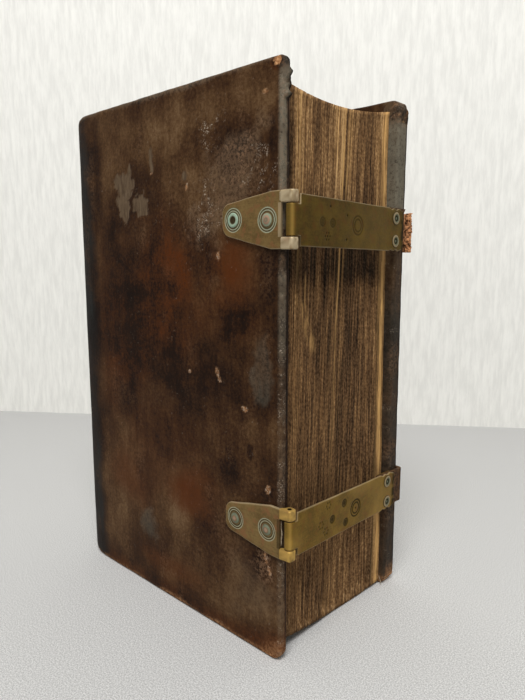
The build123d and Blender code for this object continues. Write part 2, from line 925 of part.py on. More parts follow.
print(f"fore_x {fore_x:.4f} front_y {front_y:.4f} back_y {back_y:.4f}")
print(f"joints at x {fore_x + joint_x:.4f}, y {front_y + joint_y:.4f} and {back_y - joint_y:.4f}")
print(f"catch bars at x {fore_x + bar_x:.4f}, y {front_y + bar_depth:.4f}")
print(f"spine axis x {fore_x + spine_axis_x:.4f} radius {spine_mid_radius:.4f}")
print(f"angles {joint_angle:.3f} {shell_angle:.3f} {band_angle:.3f}")
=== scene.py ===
"""Looks of an antique book in worn calf over wooden boards, with two brass hook clasps.

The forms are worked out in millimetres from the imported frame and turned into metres
when a mesh is made. Each piece rides on a body of the frame.
"""

from math import asin, cos, pi, radians, sin, sqrt

import bpy
import numpy as np
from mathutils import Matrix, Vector


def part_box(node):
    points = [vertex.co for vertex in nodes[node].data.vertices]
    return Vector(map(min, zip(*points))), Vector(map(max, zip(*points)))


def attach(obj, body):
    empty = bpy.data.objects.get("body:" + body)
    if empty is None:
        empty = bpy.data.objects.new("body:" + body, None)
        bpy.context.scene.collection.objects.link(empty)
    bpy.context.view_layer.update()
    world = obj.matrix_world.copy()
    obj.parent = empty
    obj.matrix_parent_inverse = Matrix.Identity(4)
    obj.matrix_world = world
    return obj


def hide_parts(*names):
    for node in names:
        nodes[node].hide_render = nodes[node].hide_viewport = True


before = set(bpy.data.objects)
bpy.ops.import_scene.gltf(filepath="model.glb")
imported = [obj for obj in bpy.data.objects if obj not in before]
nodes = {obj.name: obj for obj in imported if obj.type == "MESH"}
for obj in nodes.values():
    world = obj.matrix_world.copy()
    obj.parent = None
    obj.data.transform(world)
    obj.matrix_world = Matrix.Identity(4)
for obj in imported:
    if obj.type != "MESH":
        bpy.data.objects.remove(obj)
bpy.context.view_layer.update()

MM = 0.001

# Sizes read from the frame, in millimetres
front_low, front_high = (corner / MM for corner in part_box("front_leather"))
back_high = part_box("back_leather")[1] / MM
page_low, page_high = (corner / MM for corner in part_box("text_block"))
spine_low, spine_high = (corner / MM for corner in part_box("spine_leather"))
fore_x = front_high.x
front_y = front_low.y
back_y = back_high.y
height = front_high.z
thickness = back_y - front_y
middle_y = (front_y + back_y) / 2

# Sizes of the covers
shoulder_start = 109.0
shoulder_radius = 28.0
shoulder_turn = radians(26.0)
cover_thickness = {"front": 4.0, "back": 6.8}
joint_leather = 0.9
board_end = shoulder_start + shoulder_radius * radians(16.0)
face_length = shoulder_start + shoulder_radius * shoulder_turn + joint_leather / 2
cover_rounding = 1.15
turn_in = 14.0
pastedown_seam = 0.45
spine_corner = 9.0
tolerance = 0.0001
corners = {"front": (1.6, 4.5), "back": (4.0, 3.2)}

# The leather's bulge at the joint, small enough for the cover to open past the spine
full_start = 117.6
full_radius = 3.82
full_share = 0.4

# Where the joint lies: in from a cover's face, and behind the fore-edge
joint_depth = 3.2381
joint_back = 121.0771

# Sizes of the spine
half_joint_chord = thickness / 2 - joint_depth
spine_swell = 7.2
spine_radius = (half_joint_chord**2 + spine_swell**2) / (2 * spine_swell)
spine_axis_x = fore_x - joint_back + spine_radius - spine_swell
spine_shell = 1.0
spine_edge_rounding = 0.45
joint_gap = 0.3
band_count = 5
band_pitch = 33.3
band_half = 3.1
band_rise = 2.05


def corner_cut(distance, radius):
    """How far a round corner draws the edge in, at a distance from the end."""
    inside = np.clip(radius - np.minimum(distance, radius), 0, radius)
    return radius - np.sqrt(np.maximum(radius**2 - inside**2, 0))


def smooth(low, high, value):
    """0 below low, 1 above high, smooth between them."""
    share = np.clip((value - low) / (high - low), 0, 1)
    return share * share * (3 - 2 * share)


lattice_size = 256


def value_noise(u, v, seed):
    """Smooth noise from 0 to 1 over a plane, one cell to each unit."""
    lattice = np.random.default_rng(seed).random((lattice_size, lattice_size))
    cell_u, cell_v = np.floor(u), np.floor(v)
    part_u, part_v = u - cell_u, v - cell_v
    part_u = part_u * part_u * (3 - 2 * part_u)
    part_v = part_v * part_v * (3 - 2 * part_v)
    u0 = cell_u.astype(int) % lattice_size
    v0 = cell_v.astype(int) % lattice_size
    u1, v1 = (u0 + 1) % lattice_size, (v0 + 1) % lattice_size
    low = lattice[u0, v0] * (1 - part_u) + lattice[u1, v0] * part_u
    high = lattice[u0, v1] * (1 - part_u) + lattice[u1, v1] * part_u
    return low * (1 - part_v) + high * part_v


def cloud(u, v, size, seed, octaves=4, gain=0.5):
    """Noise from -1 to 1 whose largest lumps are size across, in the same unit as u and v."""
    total = 0
    weight = 1.0
    weights = 0
    for octave in range(octaves):
        scale = 2**octave / size
        total = total + weight * (2 * value_noise(u * scale, v * scale, seed + octave) - 1)
        weights += weight
        weight *= gain
    return total / weights


edge_steps = np.array([0, 0.12, 0.3, 0.55, 0.9, 1.3])


def graded(low, high, step, edges=edge_steps):
    """Positions from low to high, closer together near both ends."""
    count = max(2, int(round((high - low - 2 * edges[-1]) / step)) + 1)
    inner = np.linspace(low + edges[-1], high - edges[-1], count)
    return np.concatenate([low + edges[:-1], inner, high - edges[-2::-1]])


def new_mesh(name, points, faces, material, body, replaces=()):
    """A smooth-shaded piece from points in millimetres, riding on a body."""
    mesh = bpy.data.meshes.new(name)
    mesh.from_pydata((np.asarray(points) * MM).tolist(), [], faces)
    mesh.polygons.foreach_set("use_smooth", [True] * len(mesh.polygons))
    mesh.update()
    piece = bpy.data.objects.new(name, mesh)
    bpy.context.scene.collection.objects.link(piece)
    mesh.materials.append(material)
    if body:
        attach(piece, body)
    if replaces:
        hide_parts(*replaces)
    return piece


def set_masks(piece, masks):
    """Numbers for each point of a piece, which its material reads by name."""
    for name, values in masks.items():
        attribute = piece.data.attributes.new(name, "FLOAT", "POINT")
        attribute.data.foreach_set("value", np.asarray(values, np.float32).ravel())


def grid_faces(rows, columns, first=0):
    """Quads of a grid of points stored row by row."""
    index = first + np.arange(rows * columns).reshape(rows, columns)
    quads = np.stack(
        [index[:-1, :-1], index[:-1, 1:], index[1:, 1:], index[1:, :-1]], axis=-1
    )
    return quads.reshape(-1, 4)


def loop_quads(index):
    """Quads between closed loops of points, one loop in each row of indices."""
    after = np.roll(index, -1, axis=1)
    return np.stack([index[:-1], index[1:], after[1:], after[:-1]], -1).reshape(-1, 4)


def outline_ring(rows, columns):
    """Indices of a grid's border in order round it."""
    index = np.arange(rows * columns).reshape(rows, columns)
    return np.concatenate(
        [index[0], index[1:, -1], index[-1, -2::-1], index[-2:0:-1, 0]]
    )


class Slab:
    """A sheet with a fine outer face, a rounded rim and a turned-in border behind.

    along and across are the grid's own coordinates, distance is how far each point
    lies from the outline, and place(along, across, depth) puts a point in space.
    """

    rim_steps = (0.14, 0.28, 0.43, 0.57, 0.72, 0.86, 1.0)

    def __init__(
        self, along, across, distance, place, depth, rounding, relief, inner, steps, seam=0.0
    ):
        rows, columns = along.shape
        ring = outline_ring(rows, columns)
        depths = depth(along, across)
        curve = np.minimum(rounding, depths / 2)
        near = np.clip(curve - distance, 0, curve)
        sunk = curve - np.sqrt(np.maximum(curve**2 - near**2, 0)) + relief
        self.along = [along.ravel()]
        self.across = [across.ravel()]
        self.level = [sunk.ravel()]
        self.zone = [np.zeros(rows * columns)]
        faces = [grid_faces(rows, columns)]
        ring_along, ring_across = along.ravel()[ring], across.ravel()[ring]
        ring_depth, ring_curve = depths.ravel()[ring], curve.ravel()[ring]
        top = sunk.ravel()[ring]
        last = ring
        count = rows * columns
        loops = [
            (ring_along, ring_across, top + share * (ring_depth - ring_curve - top), 1)
            for share in self.rim_steps
        ]
        inner_along, inner_across = inner(ring_along, ring_across)
        for share in steps:
            loop_along = ring_along + share * (inner_along - ring_along)
            loop_across = ring_across + share * (inner_across - ring_across)
            reach = share * np.hypot(inner_along - ring_along, inner_across - ring_across)
            loop_depth = depth(loop_along, loop_across)
            curve = np.minimum(rounding, loop_depth / 2)
            near = np.clip(curve - reach, 0, curve)
            level = loop_depth - curve + np.sqrt(np.maximum(curve**2 - near**2, 0))
            loops.append((loop_along, loop_across, level, 2))
        if seam:
            loops.append((loop_along, loop_across, level - seam, 2))
        for loop_along, loop_across, level, zone in loops:
            self.along.append(loop_along)
            self.across.append(loop_across)
            self.level.append(level)
            self.zone.append(np.full(len(ring), float(zone)))
            now = count + np.arange(len(ring))
            faces.append(
                np.stack([np.roll(last, -1), last, now, np.roll(now, -1)], axis=-1)
            )
            last = now
            count += len(ring)
        self.last_ring = last
        self.shape = (rows, columns)
        self.along = np.concatenate(self.along)
        self.across = np.concatenate(self.across)
        self.level = np.concatenate(self.level)
        self.zone = np.concatenate(self.zone)
        self.points = np.stack(place(self.along, self.across, self.level), axis=-1)
        self.faces = np.concatenate(faces).tolist()

    def close(self):
        """Fill the back inside the border with strips from side to side."""
        rows, columns = self.shape
        start = self.last_ring[:columns]
        high = self.last_ring[columns - 1 : columns + rows - 1]
        end = self.last_ring[columns + rows - 2 : 2 * columns + rows - 2]
        low = np.concatenate([[self.last_ring[0]], self.last_ring[2 * columns + rows - 3 :][::-1]])
        self.faces.append([*start[::-1].tolist(), int(low[1]), int(high[1])])
        for number in range(1, rows - 2):
            self.faces.append(
                [int(high[number]), int(low[number]), int(low[number + 1]), int(high[number + 1])]
            )
        self.faces.append([*end[::-1].tolist(), int(high[-2]), int(low[-2])])

    def flip(self):
        """Turn all faces over."""
        self.faces = [face[::-1] for face in self.faces]


# Materials


def node(tree, kind, values=None, **settings):
    """A shader node with its settings, and with numbers or links on its inputs."""
    made = tree.nodes.new("ShaderNode" + kind)
    for name, value in settings.items():
        setattr(made, name, value)
    for key, value in (values or {}).items():
        if isinstance(value, bpy.types.NodeSocket):
            tree.links.new(value, made.inputs[key])
        else:
            made.inputs[key].default_value = value
    return made


class Paint:
    """Short words for the nodes that a material needs."""

    def __init__(self, name):
        self.material = bpy.data.materials.new(name)
        self.material.use_nodes = True
        self.tree = self.material.node_tree
        self.shader = self.tree.nodes["Principled BSDF"]
        self.place = node(self.tree, "TexCoord").outputs["Object"]

    def mask(self, name):
        return node(self.tree, "Attribute", attribute_name=name).outputs["Fac"]

    def stretched(self, scale):
        return node(self.tree, "Mapping", {"Vector": self.place, "Scale": scale}).outputs[0]

    def noise(self, size, detail=4.0, rough=0.55, scale=None, distortion=0.0):
        """Noise whose lumps are about size millimetres across."""
        place = self.stretched(scale) if scale else self.place
        values = {
            "Vector": place,
            "Scale": 1 / (size * MM),
            "Detail": detail,
            "Roughness": rough,
            "Distortion": distortion,
        }
        return node(self.tree, "TexNoise", values).outputs[0]

    def maths(self, operation, first, second=0.0, clamp=False):
        made = node(self.tree, "Math", {0: first, 1: second}, operation=operation)
        made.use_clamp = clamp
        return made.outputs[0]

    def total(self, *parts, constant=0.0):
        """The sum of each value times its weight, and a constant."""
        result = constant
        for value, weight in parts:
            made = node(self.tree, "Math", {0: value, 1: weight, 2: result}, operation="MULTIPLY_ADD")
            result = made.outputs[0]
        return result

    def grain(self, name, across, along):
        """Noise drawn out along the leaves, its lumps across and along in millimetres."""
        parts = node(self.tree, "SeparateXYZ", {0: self.place})
        level = self.maths("MULTIPLY", self.mask(name), 1 / across)
        run = self.maths("ADD", parts.outputs[0], parts.outputs[2])
        run = self.maths("MULTIPLY", run, 1 / (along * MM))
        place = node(self.tree, "CombineXYZ", {0: level, 1: run, 2: across}).outputs[0]
        values = {"Vector": place, "Scale": 1.0, "Detail": 3.0, "Roughness": 0.6}
        return node(self.tree, "TexNoise", values).outputs[0]

    def between(self, value, low, high):
        values = {"Value": value, "From Min": low, "From Max": high}
        return node(self.tree, "MapRange", values, interpolation_type="SMOOTHSTEP").outputs[0]

    def mix(self, share, first, second):
        made = node(self.tree, "Mix", data_type="RGBA")
        for index, value in ((0, share), (6, first), (7, second)):
            if isinstance(value, bpy.types.NodeSocket):
                self.tree.links.new(value, made.inputs[index])
            elif index:
                made.inputs[index].default_value = (*value, 1.0)
            else:
                made.inputs[index].default_value = value
        return made.outputs[2]

    def layer(self, base, name, grain, low, high, colour):
        """A colour laid over a base where a mask is and a grain is high, and that share."""
        share = self.maths("MULTIPLY", self.mask(name), self.between(grain, low, high))
        return self.mix(share, base, colour), share

    def ramp(self, value, stops):
        made = node(self.tree, "ValToRGB", {0: value})
        elements = made.color_ramp.elements
        while len(elements) < len(stops):
            elements.new(0.5)
        for element, (position, colour) in zip(elements, stops):
            element.position = position
            element.color = (*colour, 1.0)
        return made.outputs[0]

    def bumps(self, layers):
        """Bump from a list of height, strength and depth in millimetres."""
        normal = None
        for height_socket, strength, depth in layers:
            values = {"Height": height_socket, "Strength": strength, "Distance": depth * MM}
            if normal:
                values["Normal"] = normal
            normal = node(self.tree, "Bump", values).outputs[0]
        return normal

    def finish(self, colour, roughness, normal=None, **numbers):
        for key, value in (("Base Color", colour), ("Roughness", roughness), ("Normal", normal)):
            if isinstance(value, bpy.types.NodeSocket):
                self.tree.links.new(value, self.shader.inputs[key])
            elif isinstance(value, tuple):
                self.shader.inputs[key].default_value = (*value, 1.0)
            elif value is not None:
                self.shader.inputs[key].default_value = value
        for key, value in numbers.items():
            self.shader.inputs[key.replace("_", " ")].default_value = value
        return self.material


def leather_material(name):
    """Dark polished calf, rubbed, peeled and stained where the masks say, with a painted cool reflection
    and painted shade also laid on by the masks.
    """
    paint = Paint(name)
    broad = paint.noise(24, detail=5, rough=0.6, distortion=0.3)
    streak = paint.noise(5, detail=4, rough=0.6, scale=(1.0, 1.0, 0.16))
    thread = paint.noise(1.5, detail=3, rough=0.65, scale=(1.0, 1.0, 0.22))
    fine = paint.noise(1.3, detail=4, rough=0.75)
    grit = paint.noise(0.55, detail=2, rough=0.7)
    shade = paint.total(
        (paint.mask("tone"), 1.0), (broad, 1.30), (streak, 0.40), (thread, 0.30), (fine, 0.90),
        constant=0.5 - 1.45,
    )
    base = paint.ramp(
        shade,
        [
            (0.0, (0.006, 0.0028, 0.0018)),
            (0.25, (0.015, 0.0062, 0.0028)),
            (0.50, (0.042, 0.0180, 0.0068)),
            (0.72, (0.078, 0.0395, 0.0160)),
            (0.90, (0.115, 0.0630, 0.0280)),
            (1.0, (0.150, 0.0900, 0.0450)),
        ],
    )
    base = paint.layer(base, "red", shade, 0.15, 0.75, (0.076, 0.0185, 0.0025))[0]
    # Painted cool reflection: a dark grey-green sheen laid over the leather where its mask says
    base = paint.layer(base, "cool_sheen", streak, 0.25, 0.6, (0.015, 0.017, 0.016))[0]
    base = paint.layer(base, "grey", fine, 0.2, 0.55, (0.150, 0.134, 0.098))[0]
    base, rub = paint.layer(base, "rub", fine, 0.42, 0.60, (0.160, 0.092, 0.052))
    peeled = paint.mix(paint.between(thread, 0.35, 0.65), (0.070, 0.044, 0.025), (0.124, 0.084, 0.050))
    base = paint.mix(paint.mask("peel"), base, peeled)
    fibre = paint.mix(paint.between(fine, 0.35, 0.65), (0.16, 0.058, 0.020), (0.56, 0.30, 0.14))
    base = paint.mix(paint.mask("tan"), base, fibre)
    base, chalk = paint.layer(base, "chalk", grit, 0.52, 0.66, (0.36, 0.29, 0.22))
    worn = paint.maths("ADD", paint.mask("rub"), paint.mask("tan"), clamp=True)
    rough = paint.total((worn, 0.25), (fine, 0.25), constant=0.42)
    normal = paint.bumps(
        [
            (streak, 0.25, 0.30),
            (fine, 0.55, 0.16),
            (grit, 0.30, 0.06),
            (paint.maths("ADD", rub, chalk), 0.5, 0.12),
        ]
    )
    return paint.finish(base, rough, normal, Specular_IOR_Level=0.06)


def page_material():
    """Trimmed edges of many old leaves, browned and dusty, ochre towards the head."""
    paint = Paint("aged_page_edges")
    line = paint.grain("leaf", 0.85, 30)
    hair = paint.grain("leaf", 0.5, 8)
    group = paint.grain("leaf", 2.6, 60)
    stain = paint.grain("leaf", 12, 30)
    fleck = paint.grain("leaf", 0.8, 1.1)
    shade = paint.total(
        (paint.mask("tone"), 1.0), (line, 1.70), (hair, 0.60), (group, 0.30), (stain, 0.35),
        (fleck, 1.05), constant=0.54 - 2.0,
    )
    base = paint.ramp(
        shade,
        [
            (0.0, (0.011, 0.0062, 0.0032)),
            (0.25, (0.045, 0.0225, 0.0098)),
            (0.50, (0.110, 0.0560, 0.0230)),
            (0.72, (0.195, 0.1030, 0.0410)),
            (0.90, (0.320, 0.1820, 0.0760)),
            (1.0, (0.470, 0.2850, 0.1250)),
        ],
    )
    base = paint.layer(base, "gold", hair, 0.2, 0.5, (0.66, 0.385, 0.140))[0]
    base = paint.layer(base, "dust", fleck, 0.35, 0.65, (0.22, 0.175, 0.120))[0]
    outer = paint.maths("GREATER_THAN", paint.mask("outer_leaf"), 0.98)
    cockle = paint.noise(22, detail=5, rough=0.6)
    sheet = paint.mix(paint.between(cockle, 0.3, 0.7), (0.19, 0.120, 0.062), (0.31, 0.215, 0.125))
    base = paint.mix(outer, base, sheet)
    edges = paint.maths("SUBTRACT", 1.0, outer)
    line, hair, fleck = (paint.maths("MULTIPLY", grain, edges) for grain in (line, hair, fleck))
    normal = paint.bumps([(line, 0.8, 0.35), (hair, 0.5, 0.25), (fleck, 0.4, 0.12)])
    return paint.finish(base, 0.9, normal, Specular_IOR_Level=0.08)


def brass_material(name, dark, light, patch, gloss):
    """Old sheet brass, stained in patches, brighter where it is handled, with painted highlights and
    painted shade from its masks.
    """
    paint = Paint(name)
    broad = paint.noise(8, detail=4, rough=0.6)
    cloudy = paint.noise(3.2, detail=4, rough=0.65)
    fine = paint.noise(0.8, detail=3, rough=0.7)
    scratches = paint.noise(0.9, detail=3, rough=0.8, scale=(0.15, 0.15, 1.8))
    shade = paint.total((broad, 1.0), (fine, 0.6), (scratches, 0.5), constant=-0.55)
    base = paint.mix(paint.between(shade, 0.2, 0.8), dark, light)
    stained = paint.maths("MULTIPLY", paint.between(cloudy, 0.50, 0.66), 0.75)
    base = paint.mix(stained, base, patch)
    # The shine and pale masks carry handled wear and also painted highlights; the pit mask carries dark
    # hollows and also painted shade
    base = paint.mix(paint.mask("shine"), base, (0.50, 0.31, 0.08))
    base = paint.mix(paint.mask("pale"), base, (0.52, 0.42, 0.27))
    base = paint.mix(paint.mask("pit"), base, (0.018, 0.014, 0.007))
    base, green = paint.layer(base, "green", fine, 0.15, 0.45, (0.30, 0.42, 0.32))
    base = paint.mix(paint.mask("pink"), base, (0.42, 0.27, 0.19))
    matt = paint.maths("ADD", green, paint.mask("pit"), clamp=True)
    rough = paint.total((matt, 0.35), (scratches, 0.3), constant=gloss - 0.15)
    metal = paint.total((matt, -0.35), constant=0.35)
    paint.tree.links.new(metal, paint.shader.inputs["Metallic"])
    normal = paint.bumps([(broad, 0.25, 0.3), (scratches, 0.2, 0.05), (fine, 0.3, 0.05)])
    return paint.finish(base, rough, normal, Specular_IOR_Level=0.06)


def plain_material(
    name, dark, light, size, roughness, scale=None, bump=0.4, depth=0.1, low=0.3, high=0.7
):
    """A matt material with two tones of one colour and its own grain."""
    paint = Paint(name)
    grain = paint.noise(size, detail=5, rough=0.65, scale=scale)
    base = paint.mix(paint.between(grain, low, high), dark, light)
    normal = paint.bumps([(grain, bump, depth)])
    return paint.finish(base, roughness, normal, Specular_IOR_Level=0.15)


calf = leather_material("worn_calf")
pages = page_material()
clasp_brass = brass_material(
    "clasp_brass", (0.056, 0.034, 0.0060), (0.115, 0.070, 0.0095), (0.098, 0.043, 0.008), 0.5
)
bright_brass = brass_material(
    "bright_brass", (0.096, 0.057, 0.0085), (0.205, 0.120, 0.0180), (0.150, 0.070, 0.012), 0.45
)
catch_brass = brass_material(
    "catch_brass", (0.120, 0.074, 0.026), (0.215, 0.140, 0.052), (0.215, 0.095, 0.040), 0.5
)
torn_leather = plain_material(
    "torn_strap_leather", (0.030, 0.007, 0.003), (0.60, 0.28, 0.125), 1.1, 0.9,
    bump=1.0, depth=0.5, low=0.38, high=0.56,
)
strap_leather = plain_material(
    "worn_strap_leather", (0.020, 0.010, 0.006), (0.115, 0.056, 0.022), 1.2, 0.8, bump=0.7, depth=0.2
)
lining_paper = plain_material(
    "lining_paper", (0.17, 0.105, 0.052), (0.29, 0.20, 0.115), 12, 0.9, bump=0.15, depth=0.1
)
hemp = plain_material("hemp_cord", (0.22, 0.16, 0.10), (0.40, 0.31, 0.20), 0.6, 0.9)
oak = plain_material(
    "oak_board", (0.13, 0.075, 0.035), (0.26, 0.16, 0.08), 2.0, 0.7, scale=(1.0, 1.0, 0.08)
)
linen = plain_material("linen_thread", (0.20, 0.15, 0.09), (0.42, 0.34, 0.24), 0.5, 0.9)


# Covers


def shoulder_angle(back):
    """Angle round a cover's shoulder at a distance from the fore-edge, 0 on the flat."""
    return np.clip((back - shoulder_start) / shoulder_radius, 0, None)


def fullness(side, up, back, depth):
    """How far the leather stands out past the board at the joint, and the back one at its tail."""
    turn = shoulder_angle(back)
    run = shoulder_start + shoulder_radius * np.sin(turn)
    past = np.clip(run - full_start, 0, full_radius)
    tight = full_radius - np.sqrt(full_radius**2 - past**2)
    swell = full_share * np.maximum(shoulder_radius * (1 - np.cos(turn)) - tight, 0)
    if side == "back":
        swell = swell + 1.2 * smooth(130, 0, up) * smooth(120, 60, back)
    return swell * np.clip(1 - depth / cover_depth(side)(up, back), 0, 1)


def cover_place(side):
    """Puts a point of a cover's skin in space, from height, distance from the fore-edge and depth."""

    def place(up, back, depth):
        turn = shoulder_angle(back)
        radius = shoulder_radius - depth
        x = np.where(
            back < shoulder_start, fore_x - back, fore_x - shoulder_start - radius * np.sin(turn)
        )
        inward = np.where(back < shoulder_start, depth, shoulder_radius - radius * np.cos(turn))
        inward = inward - fullness(side, up, back, depth)
        y = front_y + inward if side == "front" else back_y - inward
        return x, y, up

    return place


def cover_depth(side):
    """Thickness of a cover, flat inside, and of bare leather past the board's spine edge."""

    def depth(up, back):
        turn = shoulder_angle(back)
        board = shoulder_radius - (shoulder_radius - cover_thickness[side]) / np.cos(turn)
        return np.where(back <= board_end + tolerance, board, joint_leather)

    return depth


def cover_inner(up, back):
    """Where the border behind a cover's edge ends, at the pastedown."""
    return np.clip(up, turn_in, height - turn_in), np.clip(back, turn_in, board_end)


def spot(u, v, centre, reach, seed, ragged=0.5, size=6.0, tilt=0.0, soft=0.35):
    """1 in a ragged oval spot, 0 outside it."""
    turn_cos, turn_sin = cos(radians(tilt)), sin(radians(tilt))
    du, dv = u - centre[0], v - centre[1]
    along = (du * turn_cos + dv * turn_sin) / reach[0]
    across = (dv * turn_cos - du * turn_sin) / reach[1]
    distance = np.hypot(along, across) + ragged * cloud(u, v, size, seed)
    return 1 - smooth(1 - soft, 1.05, distance)


def window(low, high, value, fade):
    """1 between low and high, fading to 0 outside them."""
    return smooth(low - fade, low, value) * (1 - smooth(high, high + fade, value))


# Tones of the front cover: distance from the fore-edge, height, their reach and the change
front_tones = [
    ((58, 118), (70, 36), -0.13),
    ((79, 184), (34, 15), 0.17),
    ((48, 188), (36, 12), 0.20),
    ((15, 190), (20, 9), 0.20),
    ((52, 168), (16, 18), 0.10),
    ((30, 165), (28, 18), 0.10),
    ((103, 176), (7, 22), -0.22),
    ((96, 135), (9, 26), -0.20),
    ((75, 172), (10, 8), -0.12),
    ((83, 133), (10, 22), -0.12),
    ((60, 97), (30, 13), -0.20),
    ((23, 116), (15, 12), -0.24),
    ((4, 175), (2.5, 14), -0.22),
    ((66, 120), (9, 16), 0.10),
    ((53, 138), (13, 14), 0.12),
    ((22, 138), (15, 11), 0.16),
    ((27, 64), (10, 7), -0.16),
    ((82, 62), (26, 22), 0.10),
    ((48, 46), (20, 18), 0.20),
    ((92, 40), (20, 26), 0.10),
    ((15, 18), (22, 16), 0.18),
    ((70, 12), (36, 9), 0.16),
    ((25, 44), (12, 8), -0.10),
    ((5, 60), (5, 25), -0.12),
    ((94, 186), (18, 12), -0.07),
    ((8, 30), (8, 7), -0.10),
    ((22, 80), (17, 15), 0.08),
    ((60, 50), (24, 18), 0.07),
    ((17, 20), (17, 15), 0.10),
]
front_reds = [
    ((55, 136), (20, 20), 0.9),
    ((22, 136), (17, 15), 0.9),
    ((68, 120), (22, 26), 0.7),
    ((98, 110), (12, 40), 0.5),
    ((84, 95), (16, 22), 0.6),
    ((45, 48), (18, 14), 0.7),
    ((90, 44), (20, 14), 0.4),
    ((60, 14), (30, 8), 0.5),
    ((20, 120), (16, 16), 0.5),
    ((66, 122), (46, 44), 0.45),
    ((60, 60), (40, 30), 0.25),
]
# Peeled patches: distance from the fore-edge, height, reach and tilt
front_peels = [
    ((84.8, 168.0), (6.4, 5.2), 0),
    ((85.0, 160.0), (4.0, 6.0), 0),
    ((73.8, 160.4), (5.6, 4.4), -20),
    ((80.4, 174.0), (1.3, 3.6), 0),
    ((66.2, 176.4), (1.4, 5.2), 0),
    ((46.5, 169.0), (1.4, 1.6), 20),
]
# Flecks where the surface has gone, written in the same way
front_flecks = [
    ((7.1, 190.0), (1.4, 0.6), 25),
    ((65.9, 171.6), (0.8, 0.7), 0),
    ((45.5, 165.0), (0.6, 1.4), 15),
    ((16.6, 88.4), (1.7, 1.1), 0),
    ((30.0, 98.5), (0.7, 2.6), -25),
    ((45.5, 97.8), (0.6, 0.7), 0),
    ((29.3, 140.0), (0.8, 1.4), 0),
    ((5.8, 62.1), (1.2, 1.8), 0),
    ((6.7, 37.0), (0.8, 3.6), -20),
    ((4.9, 33.0), (0.7, 2.6), -15),
]
# The torn head corner, written in the same way, and the seed of its outline
torn_corner = (2.3, 198.3)
torn_reach = (1.7, 1.6)
torn_seed = 141


def peel_marks(back, up):
    """The peeled patches of the front cover, one after the other."""
    for number, (centre, reach, tilt) in enumerate(front_peels):
        yield spot(back, up, centre, reach, 61 + number, 0.75, 3.2, tilt, soft=0.1)


def front_marks(masks, up, back):
    """The marks of age on the front cover."""
    for number, (centre, reach, change) in enumerate(front_tones):
        masks["tone"] += change * spot(back, up, centre, reach, 31 + number, size=14, soft=0.9)
    for number, (centre, reach, share) in enumerate(front_reds):
        masks["red"] += share * spot(back, up, centre, reach, 71 + number, size=12, soft=0.9)
    for mark in peel_marks(back, up):
        masks["peel"] = np.maximum(masks["peel"], mark)
    for number, (centre, reach, tilt) in enumerate(front_flecks):
        mark = spot(back, up, centre, reach, 91 + number, 0.9, 1.4, tilt, soft=0.3)
        masks["tan"] += 0.55 * mark
        masks["chalk"] += 1.1 * mark
    rubbed = spot(back, up, (20, 168), (19, 17), 111, 0.9, 7, soft=0.7)
    rubbed = np.maximum(rubbed, 0.8 * spot(back, up, (33, 152), (12, 14), 112, 0.9, 6, soft=0.7))
    speckled = smooth(0.05, 0.45, cloud(back, up, 2.2, 113, octaves=3))
    masks["rub"] += rubbed * (0.35 + 0.65 * speckled)
    masks["tone"] += 0.13 * rubbed
    masks["grey"] += 0.14 * rubbed
    masks["tone"] -= 0.05 * spot(back, up, (66, 122), (30, 34), 126, size=14, soft=0.9)
    pale = spot(back, up, (34, 180), (9, 8), 114, 0.8, 4, soft=0.7)
    pale = np.maximum(pale, spot(back, up, (36, 155), (9, 12), 115, 0.9, 4, soft=0.7))
    pale = np.maximum(pale, 0.8 * spot(back, up, (9, 167), (9, 10), 116, 0.9, 4, soft=0.7))
    masks["chalk"] += pale * smooth(0.05, 0.5, cloud(back, up, 1.7, 117, octaves=2))
    greyed = spot(back, up, (8.5, 102), (6.0, 13), 118, 0.4, 5, soft=0.3)
    masks["grey"] += 0.38 * greyed * (0.6 + 0.4 * cloud(back, up / 6, 1.6, 119))
    stain = spot(back, up, (73.7, 27.6), (7, 9), 120, 0.6, 4, soft=0.6)
    masks["grey"] += 0.30 * stain
    scratched = spot(back, up, (8, 36), (5, 10), 121, 0.8, 3, soft=0.6)
    masks["rub"] += 0.8 * scratched
    masks["tone"] -= 0.3 * spot(back, up, (14.2, 73.2), (1.8, 3.2), 122, 0.3, 3)
    speckles = smooth(0.62, 0.75, cloud(back, up, 1.3, 123, octaves=2)) * (1 - smooth(100, 110, back))
    masks["chalk"] += 0.25 * speckles
    masks["rub"] += 0.20 * smooth(0.2, 0.7, cloud(back * 1.5, up / 1.5, 9, 124))
    masks["grey"] += 0.12 * spot(back, up, (16, 22), (14, 16), 125, 0.6, 8, soft=0.8)


